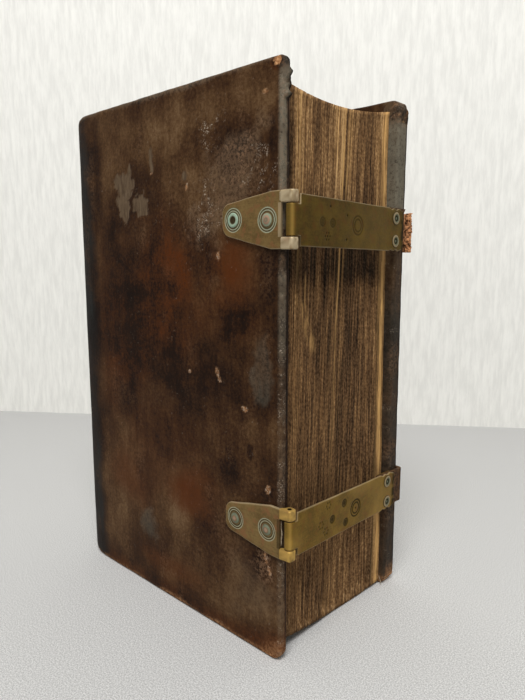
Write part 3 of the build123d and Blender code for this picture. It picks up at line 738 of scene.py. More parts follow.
def fore_edge_marks(masks, side, up, back, level, zone):
    """The rubbed fore-edge of a cover, on its rounding and its face, with painted shade and, on the back
    cover, a painted grey-green sheen.
    """
    if side == "front":
        fore = (back < 2.6) & (zone < 2)
        strip = (1 - smooth(0.7, 2.2, back)) * (1 - smooth(1.5, 2.7, level)) * fore
        lumps = cloud(up, back + level, 9, 131) + 0.8 * cloud(up, back + level, 2, 138)
        patchy = smooth(-0.6, 0.45, lumps)
        clear = window(152, 194, up, 4) + 0.55 * window(112, 133, up, 6)
        masks["grey"] += strip * np.clip(0.20 + 1.1 * clear, 0, 1) * (0.45 + 0.65 * patchy)
        masks["rub"] += 0.5 * strip * patchy * (0.4 + 0.6 * smooth(100, 140, up))
        specks = smooth(-0.05, 0.35, cloud(up, back + level, 1.6, 132, octaves=2))
        masks["chalk"] += strip * specks * (0.30 + 0.40 * (1 - smooth(105, 135, up)))
        # Painted shade on the inner half of the board's fore-edge face, next to the pages
        masks["tone"] -= 0.35 * smooth(2.0, 2.8, level) * fore
    else:
        fore = back < 7.5
        face = smooth(1.3, 2.0, level) * fore
        # Painted grey-green sheen of reflected light on the board's fore-edge face, strong in its upper
        # part and faint below
        grey_sheen = 0.90 * smooth(138, 160, up) * (1 - smooth(190, 194, up))
        masks["grey"] += face * (0.22 + grey_sheen) * (0.75 + 0.25 * cloud(up, level, 7, 137))
        # Painted shade on the outer rounding of the fore-edge
        masks["tone"] -= 0.45 * (level < 1.4) * fore
        masks["tone"] -= 0.16 * face * (1 - smooth(95, 150, up))
        masks["chalk"] += 0.35 * face * smooth(0.2, 0.6, cloud(up, level, 1.6, 133, octaves=2))
        corner = smooth(191, 194.5, up) * (back < 3.0)
        masks["tone"] -= 0.30 * corner
        masks["tan"] += 0.30 * corner * smooth(-0.1, 0.4, cloud(up, level, 1.5, 134, octaves=2))
        # A painted hole: a dark spot standing in for the shade inside a hole in the leather
        hole_shade = spot(level, up, (4.4, 193.6), (1.3, 1.6), 135, 0.4, 1.5)
        masks["tone"] -= hole_shade * fore
        tail = (1 - smooth(2.5, 4.5, up + cloud(up, level, 3, 136))) * fore
        masks["tan"] += 0.45 * tail
        masks["red"] += 0.5 * tail


def cover_masks(slab, side):
    """Where a cover is dark, red, rubbed, peeled or worn to the fibre, and where shade and a cool
    reflection are painted on.
    """
    up, back, zone, level = slab.along, slab.across, slab.zone, slab.level
    names = ("tone", "red", "cool_sheen", "grey", "rub", "peel", "tan", "chalk")
    masks = {name: np.zeros(len(up)) for name in names}
    ends = np.minimum(up, height - up)
    ragged = cloud(up, back, 9.0, 11)
    masks["tone"] += 0.10 * cloud(up, back, 50.0, 21, octaves=3)
    masks["tone"] += 0.10 * cloud(up / 5, back, 7.0, 22, octaves=3)
    # Painted shade and a painted cool reflection along the shoulder, standing in for the shading of its
    # rounding
    shoulder = smooth(105, 113, back + 3 * ragged)
    masks["tone"] -= 0.26 * shoulder
    patchy = 0.45 + 0.55 * smooth(-0.45, 0.35, cloud(up / 2.2, back, 8.0, 23))
    patchy = patchy * (1 - 0.5 * window(62, 108, up, 14))
    masks["cool_sheen"] += 0.9 * shoulder * patchy * (1 - smooth(178, 196, up))
    worn_end = smooth(118.5, 120.5, back) * smooth(95, 150, up)
    masks["grey"] += 0.55 * worn_end * (zone < 2)
    if side == "front":
        front_marks(masks, up, back)
    else:
        masks["red"] += 0.6 * spot(back, up, (60, 110), (45, 60), 41, size=22, soft=0.8)
        masks["tone"] += 0.15 * spot(back, up, (60, 160), (50, 30), 42, size=20, soft=0.9)
        masks["tone"] += 0.12 * spot(back, up, (60, 40), (50, 30), 43, size=20, soft=0.9)
        masks["rub"] += 0.5 * smooth(0.1, 0.6, cloud(back, up, 12, 44))
    masks["rub"] += 0.45 * smooth(3.0, 0.3, ends + 1.6 * ragged) * (zone < 2)
    masks["grey"] += 0.35 * smooth(2.4, 0.4, height - up + 1.4 * ragged) * (zone < 2)
    masks["tan"] += 0.45 * smooth(2.4, 0.2, up + 1.5 * ragged) * (zone < 2)
    masks["red"] += 0.6 * smooth(9, 1, up + 3 * ragged) * (zone < 2)
    fore_edge_marks(masks, side, up, back, level, zone)
    outer = zone < 2
    if side == "front":
        aside = (back - torn_corner[0]) / torn_reach[0]
        above = (up - torn_corner[1]) / torn_reach[1]
        torn = np.hypot(aside, above) + 0.25 * cloud(up, back, 1.5, torn_seed)
        masks["tan"] += 1.1 * (1 - smooth(0.85, 1.0, torn)) * outer
        masks["red"] += 0.9 * (1 - smooth(1.3, 1.9, torn)) * outer
        masks["tone"] -= 0.3 * (1 - smooth(1.3, 1.7, torn)) * outer
        masks["tone"] -= 0.35 * window(188, 199, up, 2) * (back < 1.2) * (level > 1.0) * outer
        for name in ("grey", "rub", "chalk"):
            masks[name] *= 1 - (1 - smooth(0.9, 1.5, torn)) * outer
    tail_corner = np.hypot(back * 0.7, up) + 2.2 * ragged
    masks["tan"] += 0.38 * smooth(9.5, 3.0, tail_corner) * outer
    masks["red"] += 0.7 * smooth(14, 5, tail_corner) * outer
    inner = (zone == 2) & (back > 1.0)
    masks["tone"] -= 0.15 * inner
    masks["cool_sheen"] *= ~inner
    if side == "back":
        masks["tone"] += 0.15 * inner * (back < 7.5)
    return {
        name: np.clip(values, -1 if name == "tone" else 0, 1) for name, values in masks.items()
    }


def cover_leather(side, step):
    """The covering leather of one board, with its worn corners and turned-in edges."""
    head_corner, tail_corner = corners[side]
    rows = graded(0, height, step)
    shares = graded(0, face_length, step) / face_length
    fore = corner_cut(height - rows, head_corner) + corner_cut(rows, tail_corner)
    back = face_length - corner_cut(height - rows, spine_corner) - corner_cut(rows, spine_corner)
    up = np.repeat(rows[:, None], len(shares), axis=1)
    across = fore[:, None] + shares[None, :] * (back - fore)[:, None]
    slope_fore = np.gradient(fore, rows)[:, None]
    slope_back = np.gradient(back, rows)[:, None]
    distance = np.minimum.reduce(
        [
            up,
            height - up,
            (across - fore[:, None]) / np.hypot(1, slope_fore),
            (back[:, None] - across) / np.hypot(1, slope_back),
        ]
    )
    seed = 100 if side == "front" else 200
    ends = np.minimum(up, height - up)
    worn = 0.16 * (1 + cloud(across, up * 0 + 3.0, 7.0, seed)) * smooth(8, 0, ends)
    up = up + np.where(up < height / 2, worn, -worn)
    across = across + 0.14 * (1 + cloud(up, across * 0, 6.0, seed + 5)) * smooth(8, 0, across)
    relief = 0.06 + 0.10 * cloud(up, across, 34.0, seed + 9, octaves=3)
    relief += 0.05 * cloud(up / 3, across, 5.0, seed + 15, octaves=3)
    if side == "front":
        for mark in peel_marks(across, up):
            relief += 0.14 * mark
        relief += 0.35 * spot(across, up, torn_corner, torn_reach, torn_seed, 0.25, 1.5)
    relief = np.clip(relief, 0.0, 0.6)
    steps = (0.01, 0.03, 0.055, 0.085, 0.2, 0.45, 0.7, 0.84, 0.87, 0.90, 0.93, 0.995, 1.0)
    slab = Slab(
        up, across, distance, cover_place(side), cover_depth(side), cover_rounding, relief,
        cover_inner, steps, pastedown_seam,
    )
    if side == "front":
        slab.flip()
    points = slab.points
    near = (slab.across < 1.5) & (slab.zone < 2)
    if side == "front":
        scraps = window(188.5, 197.5, slab.along, 1.0) * window(1.2, 3.7, slab.level, 0.5) * near
        tufts = np.clip(0.35 + cloud(slab.along, slab.level, 2.6, 151, octaves=3), 0, 1)
        points[:, 0] += 2.4 * scraps * tufts
    else:
        curled = window(192, 198, slab.along, 1.5) * window(1.0, 5.2, slab.level, 0.8) * near
        lumps = cloud(slab.along, slab.level, 2.4, 152, octaves=3)
        points[:, 0] += 1.3 * curled * lumps
        tail = (1 - smooth(2.5, 5.0, slab.along)) * near
        points[:, 0] -= 0.9 * tail * np.clip(0.5 + cloud(slab.along, slab.level, 2.0, 153), 0, 1)
    piece = new_mesh(
        f"{side}_cover_leather", points, slab.faces, calf, f"{side}_cover",
        [f"{side}_leather"],
    )
    set_masks(piece, cover_masks(slab, side))
    return piece


cover_leather("front", 0.62)
cover_leather("back", 0.85)


# Text block


def through(front, middle, back, share):
    """A value that runs smoothly from the front of the block over its middle to its back."""
    bend = 2 * front + 2 * back - 4 * middle
    return front + share * (4 * middle - 3 * front - back) + share**2 * bend


def text_block():
    """The trimmed leaves: hollow at the fore-edge, sagging at head and tail, leaning forward."""
    pitch = 0.22
    hollow = (3.0, 4.4, 4.2)
    head_sag, tail_sag = (6.3, 8.2, 4.4), (5.8, 0.9, 1.6)
    forward_lean, tail_push, lowest = 8.5, 1.4, 0.4
    low, high = page_low.y, page_high.y
    leaf_y = np.linspace(low, high, int((high - low) / pitch))
    share = (leaf_y - low) / (high - low)
    count = len(leaf_y)
    leaves = np.arange(count, dtype=float)[None, :]
    fore_rows, end_rows, spine_rows = 150, 64, 8

    def run(start, end, number):
        return start[None, :] + np.linspace(0, 1, number)[:, None] * (end - start)[None, :]

    inner_radius = spine_radius - spine_shell / 2
    spine = spine_axis_x - np.sqrt(inner_radius**2 - (leaf_y - middle_y) ** 2) + 0.05
    fore = fore_x - through(*hollow, share)
    top = 0 * share + 1
    bottom = 0 * share
    out, home = run(fore, spine, end_rows), run(spine, fore, end_rows)
    x = np.concatenate(
        [run(fore, fore, fore_rows), out[1:], run(spine, spine, spine_rows)[1:], home[1:-1]]
    )
    rise = np.concatenate(
        [
            run(bottom, top, fore_rows),
            run(top, top, end_rows)[1:],
            run(top, bottom, spine_rows)[1:],
            run(bottom, bottom, end_rows)[1:-1],
        ]
    )
    lean = forward_lean * (1 - rise) * np.sin(pi * share)[None, :]
    lean *= (x - spine[None, :]) / (fore - spine)[None, :]
    y = leaf_y[None, :] - lean
    place = (y - low) / (high - low)
    head = height - through(*head_sag, place)
    tail = np.maximum(through(*tail_sag, place), lowest)
    z = tail + rise * (head - tail)
    rows = len(x)
    side = np.zeros((rows, 1))
    side[fore_rows:] = 1
    edge_in = through(*hollow, place) - through(*hollow, share)[None, :]
    x = x - edge_in * (1 - side)
    x = x + tail_push * smooth(0.9, 0.1, rise) * smooth(0.6, 1.0, share)[None, :] * (1 - side)

    def uneven(position, seed, depth):
        """How far each leaf's edge stands back, changing slowly along it."""
        jagged = value_noise(leaves + 0 * position, position / 22 + 0 * leaves, seed)
        pairs = value_noise(leaves / 2.6 + 0 * position, position / 14, seed + 1)
        groups = value_noise(leaves / 11 + 0 * position, position / 60, seed + 2)
        gaps = smooth(0.80, 0.93, value_noise(leaves / 1.6 + 0 * position, position / 45, seed + 3))
        return depth * (0.35 * jagged + 0.30 * pairs + 0.35 * groups) + 1.6 * depth * gaps

    recess = uneven(z + 0 * x, 301, 0.60)
    calm = smooth(0, 3.0, np.minimum(z - tail, head - z))
    x = x - recess * (1 - side) * (0.35 + 0.65 * calm)
    level = np.minimum(x - spine[None, :], fore[None, :] - x)
    ends = uneven(x, 311, 0.42) * side * smooth(0, 2, level)
    z = z - ends * (rise > 0.999) + ends * (rise < 0.001)
    points = np.stack([x, y, z], -1)
    index = np.arange(rows * count).reshape(rows, count)
    faces = loop_quads(index.T)[:, ::-1].tolist()
    faces.append(index[:, 0].tolist())
    faces.append(index[::-1, -1].tolist())
    piece = new_mesh(
        "page_block", points.reshape(-1, 3), faces, pages, "text_block", ["text_block"]
    )
    leaf = (leaf_y - front_y)[None, :] + 0 * x
    face = 1 - side
    gold = np.zeros_like(y)
    # Bright leaves: place in the block, width, strength, and the heights they fade between
    bright = [
        (39.4, 0.42, 1.00, 40, 175),
        (42.0, 0.36, 0.85, 120, 178),
        (43.8, 0.30, 0.40, 150, 185),
        (38.2, 0.30, 0.45, 130, 185),
        (13.2, 0.60, 0.50, 110, 180),
        (11.6, 0.35, 0.40, 120, 180),
        (15.4, 0.35, 0.22, 20, 150),
        (36.6, 0.35, 0.50, 150, 185),
        (35.2, 0.30, 0.45, 160, 188),
        (34.0, 0.25, 0.35, 165, 188),
        (64.2, 0.60, 0.45, 120, 185),
        (62.2, 0.50, 0.30, 130, 185),
    ]
    for centre, width, strength, faint, full in bright:
        sway = 0.5 * (value_noise(z / 30, z * 0 + centre, 331) - 0.5)
        line = np.exp(-(((leaf - centre - sway) / width) ** 2))
        broken = 0.45 + 0.55 * value_noise(z / 7, z * 0 + centre, 332)
        gold += strength * line * broken * (0.12 + 0.88 * smooth(faint, full, z)) * face
    wander = leaf + 0.9 * value_noise(z / 12, leaf * 0, 334) - 0.45
    rear = 0.35 * smooth(63.4, 65.0, wander) + 0.75 * window(65.7, 67.0, wander, 0.5)
    streaky = 0.30 + 0.70 * value_noise(z / 7, leaf / 0.6, 333)
    gold += rear * streaky * face
    smear = np.abs((leaf - 14.6) + (z - 125.7) * 0.59 + 2.4 * cloud(z, leaf, 4, 336))
    flecked = smooth(0.3, 0.7, value_noise(leaf / 0.9, z / 5, 338))
    gold += 0.38 * (1 - smooth(0.2, 3.2, smear)) * flecked * window(110, 124, z, 5) * face
    gold += 0.50 * np.exp(-(((leaf - 18.4) / 0.3) ** 2)) * window(125, 133, z, 2) * face
    dark_line = np.exp(-(((leaf - 64.2) / 0.55) ** 2)) * (1 - smooth(110, 150, z))
    stripes = value_noise(leaf / 3.2, z / 55, 335)
    head_light = smooth(120, 188, z)
    tone = head_light * (0.06 + 0.20 * smooth(0.35, 0.75, stripes))
    tone -= 0.07 * window(60, 120, z, 20) * window(20, 45, leaf, 8)
    tone += 0.16 * window(46, 66, leaf, 5) * (1 - smooth(25, 60, z))
    for change, start, end, fade in (
        (0.09, 32.5, 39, 1.5), (0.16, 10.5, 15, 1.2), (-0.14, 45.5, 58.5, 1.5)
    ):
        tone += change * head_light * window(start, end, leaf, fade)
    tone -= 0.10 * window(45, 60, leaf, 4) * (1 - head_light)
    # Painted shade on the leaves next to the front board
    tone -= 0.38 * (1 - smooth(7.5, 9.5, leaf))
    tone -= 0.5 * dark_line
    # Painted shadow on the leaves just below the upper hook plate
    tone -= 0.32 * window(136, 143, z, 8) * (1 - smooth(60, 66, leaf))
    tone -= 0.25 * np.exp(-(((leaf - 40.7) / 0.5) ** 2)) * smooth(60, 150, z)
    crumbs = (1 - smooth(2, 9, z - tail)) * smooth(0.45, 0.8, value_noise(leaf / 0.8, z / 1.2, 337))
    tone += 0.28 * crumbs
    tone = tone * face - 0.05 * side
    outermost = (leaves == 0) | (leaves == count - 1)
    masks = {
        "leaf": leaf,
        "outer_leaf": outermost + 0.0,
        "gold": np.clip(gold, 0, 1),
        "tone": tone,
        "dust": 0.22 * face * (0.3 + crumbs) + 0.6 * side,
    }
    set_masks(piece, {name: (values + 0 * y).ravel() for name, values in masks.items()})


text_block()


# Spine


def spine_point(turn, radius, up):
    """A point on the spine at an angle from its middle, a radius and a height."""
    return np.stack([spine_axis_x - radius * np.cos(turn), middle_y + radius * np.sin(turn), up], -1)


def spine_leather():
    """The covering leather of the spine, moulded over five cords, with its headcaps."""
    shell_turn = asin(half_joint_chord / spine_radius) - (joint_leather / 2 + joint_gap) / spine_radius
    outer = spine_radius + spine_shell / 2
    inner = spine_radius - spine_shell / 2
    low, high = spine_low.z, spine_high.z
    cap_reach, cap = 4.0, 0.8
    arc = shell_turn * spine_radius
    turns = graded(-arc, arc, 0.8) / spine_radius
    inside_height = high - low - 2 * cap

    def headcap(end, inward):
        """Rows over one end of the spine, from its outer face to its inner one."""
        over = [(outer - cap_reach * share, end, 0.0) for share in np.linspace(0.1, 1, 8)]
        down = [(outer - cap_reach, end + inward * cap * share, 0.0) for share in (0.3, 0.7, 1.0)]
        return over + down + [(inner, end + inward * cap, 0.0)]

    rows = [(outer, up, 1.0) for up in graded(low, high, 0.7)] + headcap(high, -1)
    for share in np.linspace(0.03, 0.97, 20):
        rows.append((inner, high - cap - inside_height * share, 0.0))
    rows += headcap(low, 1)[::-1]
    radius, up, skin = (np.array(values)[:, None] + 0 * turns[None, :] for values in zip(*rows))
    turn = turns[None, :] + 0 * radius
    end = np.minimum(turn - turns[0], turns[-1] - turn) * spine_radius
    bands = np.zeros_like(up)
    for number in range(band_count):
        centre = height / 2 + band_pitch * (number - (band_count - 1) / 2)
        rise = np.clip(1 - ((up - centre) / band_half) ** 2, 0, 1)
        bands += band_rise * np.sqrt(rise) * (rise**0.35)
    bands *= smooth(2.0, 9.5, end)
    rim = smooth(1.6, 0, np.minimum(up - low, high - up))
    wear = 0.10 * cloud(turn * spine_radius, up, 30.0, 401, octaves=3)
    wear += 0.05 * cloud(turn * spine_radius, up, 4.0, 405, octaves=3)
    nip = corner_cut(end, spine_edge_rounding)
    inside = np.abs(radius - inner) < 0.1
    radius = radius + skin * (bands - 0.12 + wear - 0.55 * rim**2 - nip) + (1 - skin) * nip * inside
    points = spine_point(turn, radius, up)
    count, columns = turn.shape
    index = np.arange(count * columns).reshape(count, columns)
    faces = loop_quads(index.T).tolist()
    faces.append(index[::-1, 0].tolist())
    faces.append(index[:, -1].tolist())
    piece = new_mesh(
        "spine_cover_leather", points.reshape(-1, 3), faces, calf, "text_block",
        ["spine_leather"],
    )
    top = bands / band_rise
    ends = np.minimum(up - low, high - up)
    ragged = cloud(turn * spine_radius, up, 6.0, 411)
    masks = {
        "tone": -0.10 + 0.12 * cloud(turn * spine_radius, up, 40.0, 415, octaves=3) + 0.2 * top,
        "red": 0.4 * smooth(0.2, 0.7, value_noise(turn * 9, up / 30, 417)),
        # Painted cool reflection in streaks over the spine
        "cool_sheen": 0.5 * smooth(0.3, 0.8, value_noise(turn * 12, up / 25, 419)),
        "grey": 0.25 * smooth(0.7, 1.0, top + 0.2 * ragged),
        "rub": 0.85 * smooth(0.72, 1.0, top + 0.25 * ragged) + 0.4 * smooth(5, 0, ends + 2 * ragged),
        "peel": 0.7 * spot(turn * spine_radius, up, (-12, 62), (5, 8), 421),
        "tan": 0.6 * smooth(1.6, 0.1, ends + 0.9 * ragged) * skin,
        "chalk": 0.5 * smooth(0.75, 1.0, top) * smooth(0.0, 0.6, ragged),
    }
    set_masks(piece, {name: np.clip(values, -1, 1).ravel() for name, values in masks.items()})


spine_leather()


# Brass plates


def no_masks(count):
    return {name: np.zeros(count) for name in ("shine", "pale", "pit", "green", "pink")}


def ring_line(u, v, centre, radius, width):
    """1 in the middle of a punched ring, 0 away from it."""
    distance = np.abs(np.hypot(u - centre[0], v - centre[1]) - radius)
    return 1 - smooth(width * 0.25, width * 0.75, distance)


catch_length = 25.8
catch_spots = (5.4, 20.6)
catch_ring_radii = (3.85, 3.05)
catch_thickness = 1.2


def catch_heart(level, rise, reach):
    """The middle of a rivet on a catch plate, as distance from the fore-edge and height."""
    return reach, level + rise * reach / catch_length


def catch_plate(name, level, rise):
    """A tapering plate with its rings, and two knuckles curled round the bar."""
    tip, wide, shoulder, gap = 5.0, 9.0, 4.0, 5.2
    edges = np.array([0, 0.08, 0.2, 0.36, 0.6])
    out = graded(-0.3, catch_length, 0.18, edges=edges)
    shares = graded(0, 2 * wide, 0.18, edges=edges) / (2 * wide)
    taper = np.clip((out - shoulder) / (catch_length - shoulder), 0, 1)
    wave = 0.12 * (1 + cloud(out, out * 0, 5.0, 503))
    half = wide + (tip - wide) * taper - corner_cut(catch_length - out, 3.0) - wave
    centre = level + rise * taper
    along = np.repeat(out[:, None], len(shares), axis=1)
    across = (centre - half)[:, None] + shares[None, :] * (2 * half)[:, None]
    slope = np.hypot(1, np.gradient(half, out))[:, None]
    distance = np.minimum.reduce(
        [
            along - out[0] + 1.0,
            catch_length - along,
            (across - (centre - half)[:, None]) / slope,
            ((centre + half)[:, None] - across) / slope,
        ]
    )
    grooves = np.zeros_like(along)
    pits = np.zeros_like(along)
    verdigris = np.zeros_like(along)
    for reach in catch_spots:
        heart = catch_heart(level, rise, reach)
        for radius in catch_ring_radii:
            line = ring_line(along, across, heart, radius, 0.30)
            crisp = 0.75 + 0.5 * value_noise(along / 1.1, across / 1.1, 505)
            grooves = np.maximum(grooves, line)
            verdigris = np.maximum(verdigris, np.clip(line * crisp, 0, 1))
            pits = np.maximum(pits, ring_line(along, across, heart, radius - 0.42, 0.5))
        spread = np.hypot(along - heart[0], across - heart[1])
        core = 1 - smooth(2.1, 2.6, spread)
        verdigris = np.maximum(verdigris, (0.75 if name == "upper" and reach > 10 else 0.12) * core)
    relief = 0.13 * grooves + 0.05 * (1 + cloud(along, across, 9.0, 501, octaves=3))
    relief += 0.30 * smooth(6.0, 0.0, distance) ** 2 * cloud(along, across, 12.0, 507, octaves=2)
    relief = np.clip(relief, 0.0, 0.4)

    def place(back, up, depth):
        return fore_x - back, front_y - catch_thickness + depth, up

    def depth(back, up):
        return catch_thickness + 0 * back

    def inner(back, up):
        share = np.clip((back - shoulder) / (catch_length - shoulder), 0, 1)
        width = wide + (tip - wide) * share - 1.6
        middle = level + rise * share
        return np.clip(back, 0.7, catch_length - 1.6), np.clip(up, middle - width, middle + width)

    slab = Slab(along, across, distance, place, depth, 0.35, relief, inner, (0.1, 0.25, 0.5, 1.0))
    slab.close()
    slab.flip()
    points, faces = [slab.points], list(slab.faces)
    masks = no_masks(len(slab.points))
    grid = along.size
    masks["green"][:grid] = (verdigris * (0.60 if name == "upper" else 0.40)).ravel()
    masks["pit"][:grid] = (0.7 * pits * (1 - verdigris)).ravel()
    edge = smooth(0.45, 0.05, distance) * (0.4 + 0.6 * value_noise(along / 3, across / 3, 509))
    masks["pale"][:grid] = np.maximum(0.55 * edge, 0.55 * grooves).ravel()
    window_side = (slab.across < level + gap) & (slab.across > level - gap) & (slab.along < 0.8)
    # Painted light on the plate's rim: a pale highlight on its upper side and painted shade on its lower
    # side
    masks["pale"][(slab.zone == 1) & (slab.across > level)] = 0.4
    masks["pit"][(slab.zone == 1) & (slab.across < level)] = 0.4
    masks["pale"][window_side] = 0.40 if name == "upper" else 0.0
    masks["pit"][window_side] = 0.0 if name == "upper" else 0.6
    for side in (-1, 1):
        low = level + side * (gap + wide) / 2 - (wide - gap) / 2
        first = sum(len(block) for block in points)
        knuckle_points, knuckle_faces, knuckle_masks = knuckle(name, low, low + wide - gap)
        points.append(knuckle_points)
        faces += [[first + number for number in face] for face in knuckle_faces]
        for key in masks:
            masks[key] = np.concatenate([masks[key], knuckle_masks[key]])
    piece = new_mesh(
        f"{name}_catch", np.concatenate(points), faces, catch_brass, "front_cover",
        [f"{name}_catch_plate"],
    )
    set_masks(piece, masks)


def turned_faces(index):
    """Faces of closed loops wound the other way, with both ends filled."""
    faces = loop_quads(index)[:, [0, 3, 2, 1]].tolist()
    return faces + [index[0, ::-1].tolist(), index[-1].tolist()]


def closed_sweep(section, levels, inset):
    """A solid from one closed section in a flat plane, with rounded ends."""
    count = len(section)
    middle = section.mean(0)
    rows = []
    for level, share in zip(levels, inset):
        flat = middle + (section - middle) * (1 - share)
        rows.append(np.column_stack([flat, np.full(count, level)]))
    points = np.concatenate(rows)
    index = np.arange(len(points)).reshape(len(levels), count)
    return points, turned_faces(index)


bar_x, bar_depth, knuckle_radius = 3.0, 0.9, 2.1


def knuckle(name, low, high):
    """One knuckle of a catch plate: the plate's arm rolled over the bar."""
    turns = np.linspace(-pi / 2, pi * 0.93, 30)
    centre = np.array([fore_x + bar_x, front_y + bar_depth])
    square = (np.abs(np.cos(turns)) ** 5 + np.abs(np.sin(turns)) ** 5) ** (-1 / 5)
    reach = knuckle_radius * np.minimum(1.0, 0.86 * square)
    roll = centre + reach[:, None] * np.stack([np.cos(turns), np.sin(turns)], -1)
    arm = np.array(
        [
            (fore_x + 0.2, front_y + 0.02),
            (fore_x - 0.3, front_y + 0.02),
            (fore_x - 0.3, front_y - catch_thickness + 0.06),
            (fore_x + 0.5, front_y - catch_thickness + 0.02),
        ]
    )
    section = np.concatenate([roll, arm])
    levels = np.array([0, 0.1, 0.3, 0.6, 0.5 * (high - low)])
    levels = np.concatenate([low + levels, (high - levels[-2::-1])])
    inset = np.array([0.22, 0.12, 0.04, 0.0, 0.0, 0.0, 0.04, 0.12, 0.22])
    points, faces = closed_sweep(section, levels, inset)
    masks = no_masks(len(points))
    handled = value_noise(points[:, 0] * 1.3, points[:, 2] * 0.9 + points[:, 1], 521)
    handled = 0.45 + 0.55 * smooth(0.3, 0.7, handled)
    masks["pale" if name == "upper" else "shine"] = 0.85 * handled
    return points, faces, masks


def lathed_heads(name, spots, profiles, body, material, replaced, outward, sideways_axis):
    """Rivet heads turned from their profiles: radius, height and kind of mark at each step."""
    segments = 36
    turns = np.linspace(0, 2 * pi, segments, endpoint=False)
    ring = np.stack([np.cos(turns), np.sin(turns)], -1)
    points, faces = [], []
    masks = no_masks(0)
    count = 0
    for number, (spot_place, profile) in enumerate(zip(spots, profiles)):
        spot_place = np.array(spot_place)
        steps = len(profile)
        for radius, rise, kind in profile:
            uneven = 1 + 0.07 * cloud(turns * 1.2, turns * 0 + number, 2.0, 531)
            flat = ring * (radius * uneven)[:, None]
            block = spot_place + flat[:, :1] * sideways_axis + flat[:, 1:] * np.array([0, 0, 1.0])
            points.append(block + rise * outward)
            for key in masks:
                mark = head_marks[kind].get(key, 0.0)
                masks[key] = np.concatenate([masks[key], np.full(segments, mark)])
        faces += turned_faces(count + np.arange(steps * segments).reshape(steps, segments))
        count += steps * segments
    piece = new_mesh(name, np.concatenate(points), faces, material, body, replaced)
    set_masks(piece, masks)


head_marks = {
    "green": {"green": 0.85},
    "dull": {"green": 0.30, "pit": 0.45},
    "steel": {"green": 0.45, "pale": 0.25, "pit": 0.20},
    "bright": {"pale": 0.45},
    "pink": {"pink": 0.7},
    "faint": {"pink": 0.3, "pit": 0.25},
    "dark": {"pit": 0.9},
}
# Heads of the rivets, from the plate to their middle: radius, height and kind of mark
# The hollow head's dark middle is painted shade standing in for its hollow
hollow_head = [
    (2.4, -0.3, "green"), (2.4, 0.05, "green"), (2.2, 0.22, "green"), (1.65, 0.26, "green"),
    (1.35, 0.18, "dull"), (1.15, 0.07, "dark"), (0.6, 0.06, "dark"), (0.05, 0.06, "dark"),
]
domed_head = [
    (2.1, -0.3, "dull"), (2.1, 0.05, "dull"), (1.95, 0.15, "steel"), (1.5, 0.18, "steel"),
    (1.3, 0.32, "pink"), (0.9, 0.48, "pink"), (0.5, 0.52, "dull"), (0.05, 0.45, "pink"),
]
green_head = [
    (2.0, -0.3, "dull"), (2.0, 0.05, "dark"), (1.85, 0.15, "dull"), (1.45, 0.18, "dull"),
    (1.25, 0.32, "dull"), (0.9, 0.47, "faint"), (0.5, 0.52, "pink"), (0.05, 0.52, "pink"),
]
ring_head = [
    (2.45, -0.3, "dark"), (2.45, 0.06, "dark"), (2.2, 0.28, "bright"), (1.8, 0.38, "bright"),
    (1.35, 0.30, "dull"), (1.1, 0.12, "dark"), (0.6, 0.08, "dark"), (0.35, 0.14, "dull"),
    (0.05, 0.16, "dull"),
]
catch_heads = {"upper": (domed_head, hollow_head), "lower": (green_head, green_head)}


plate_thickness = 0.9
hook_inner = 0.9
hook_outer = 1.8
hook_wrap = radians(215)
hook_face = 4.8
far_face = 3.2
plate_bend = 56.5 - bar_depth
plate_end = 68.5 - bar_depth
tongue_half = 4.9
tongue_end = 3.4 - bar_depth
ornaments = {
    "upper": [
        (14.0, 0.0, (1.3, 0.55), 0.55),
        (19.7, -0.2, (1.3, 0.55), 0.6),
        (35.0, -0.4, (3.2, 2.1), 0.6),
    ],
    "lower": [
        (22.8, -1.9, (1.3, 0.6), 0.9),
        (30.4, 1.8, (1.3, 0.6), 0.9),
        (31.6, -6.0, (1.3, 0.6), 0.9),
        (38.2, -2.6, (3.2, 2.1), 1.0),
    ],
}
punched_dots = {
    "upper": [(18.4, 5.1), (28.3, 2.7), (28.0, -5.4), (16.8, -4.6)],
    "lower": [(38.2, -2.6), (31.6, -6.0), (30.4, 1.8), (22.8, -1.9)],
}
flowers = {"upper": [(16.8, -4.6)], "lower": [(20.2, 4.2), (15.8, -1.8), (18.8, -5.0)]}


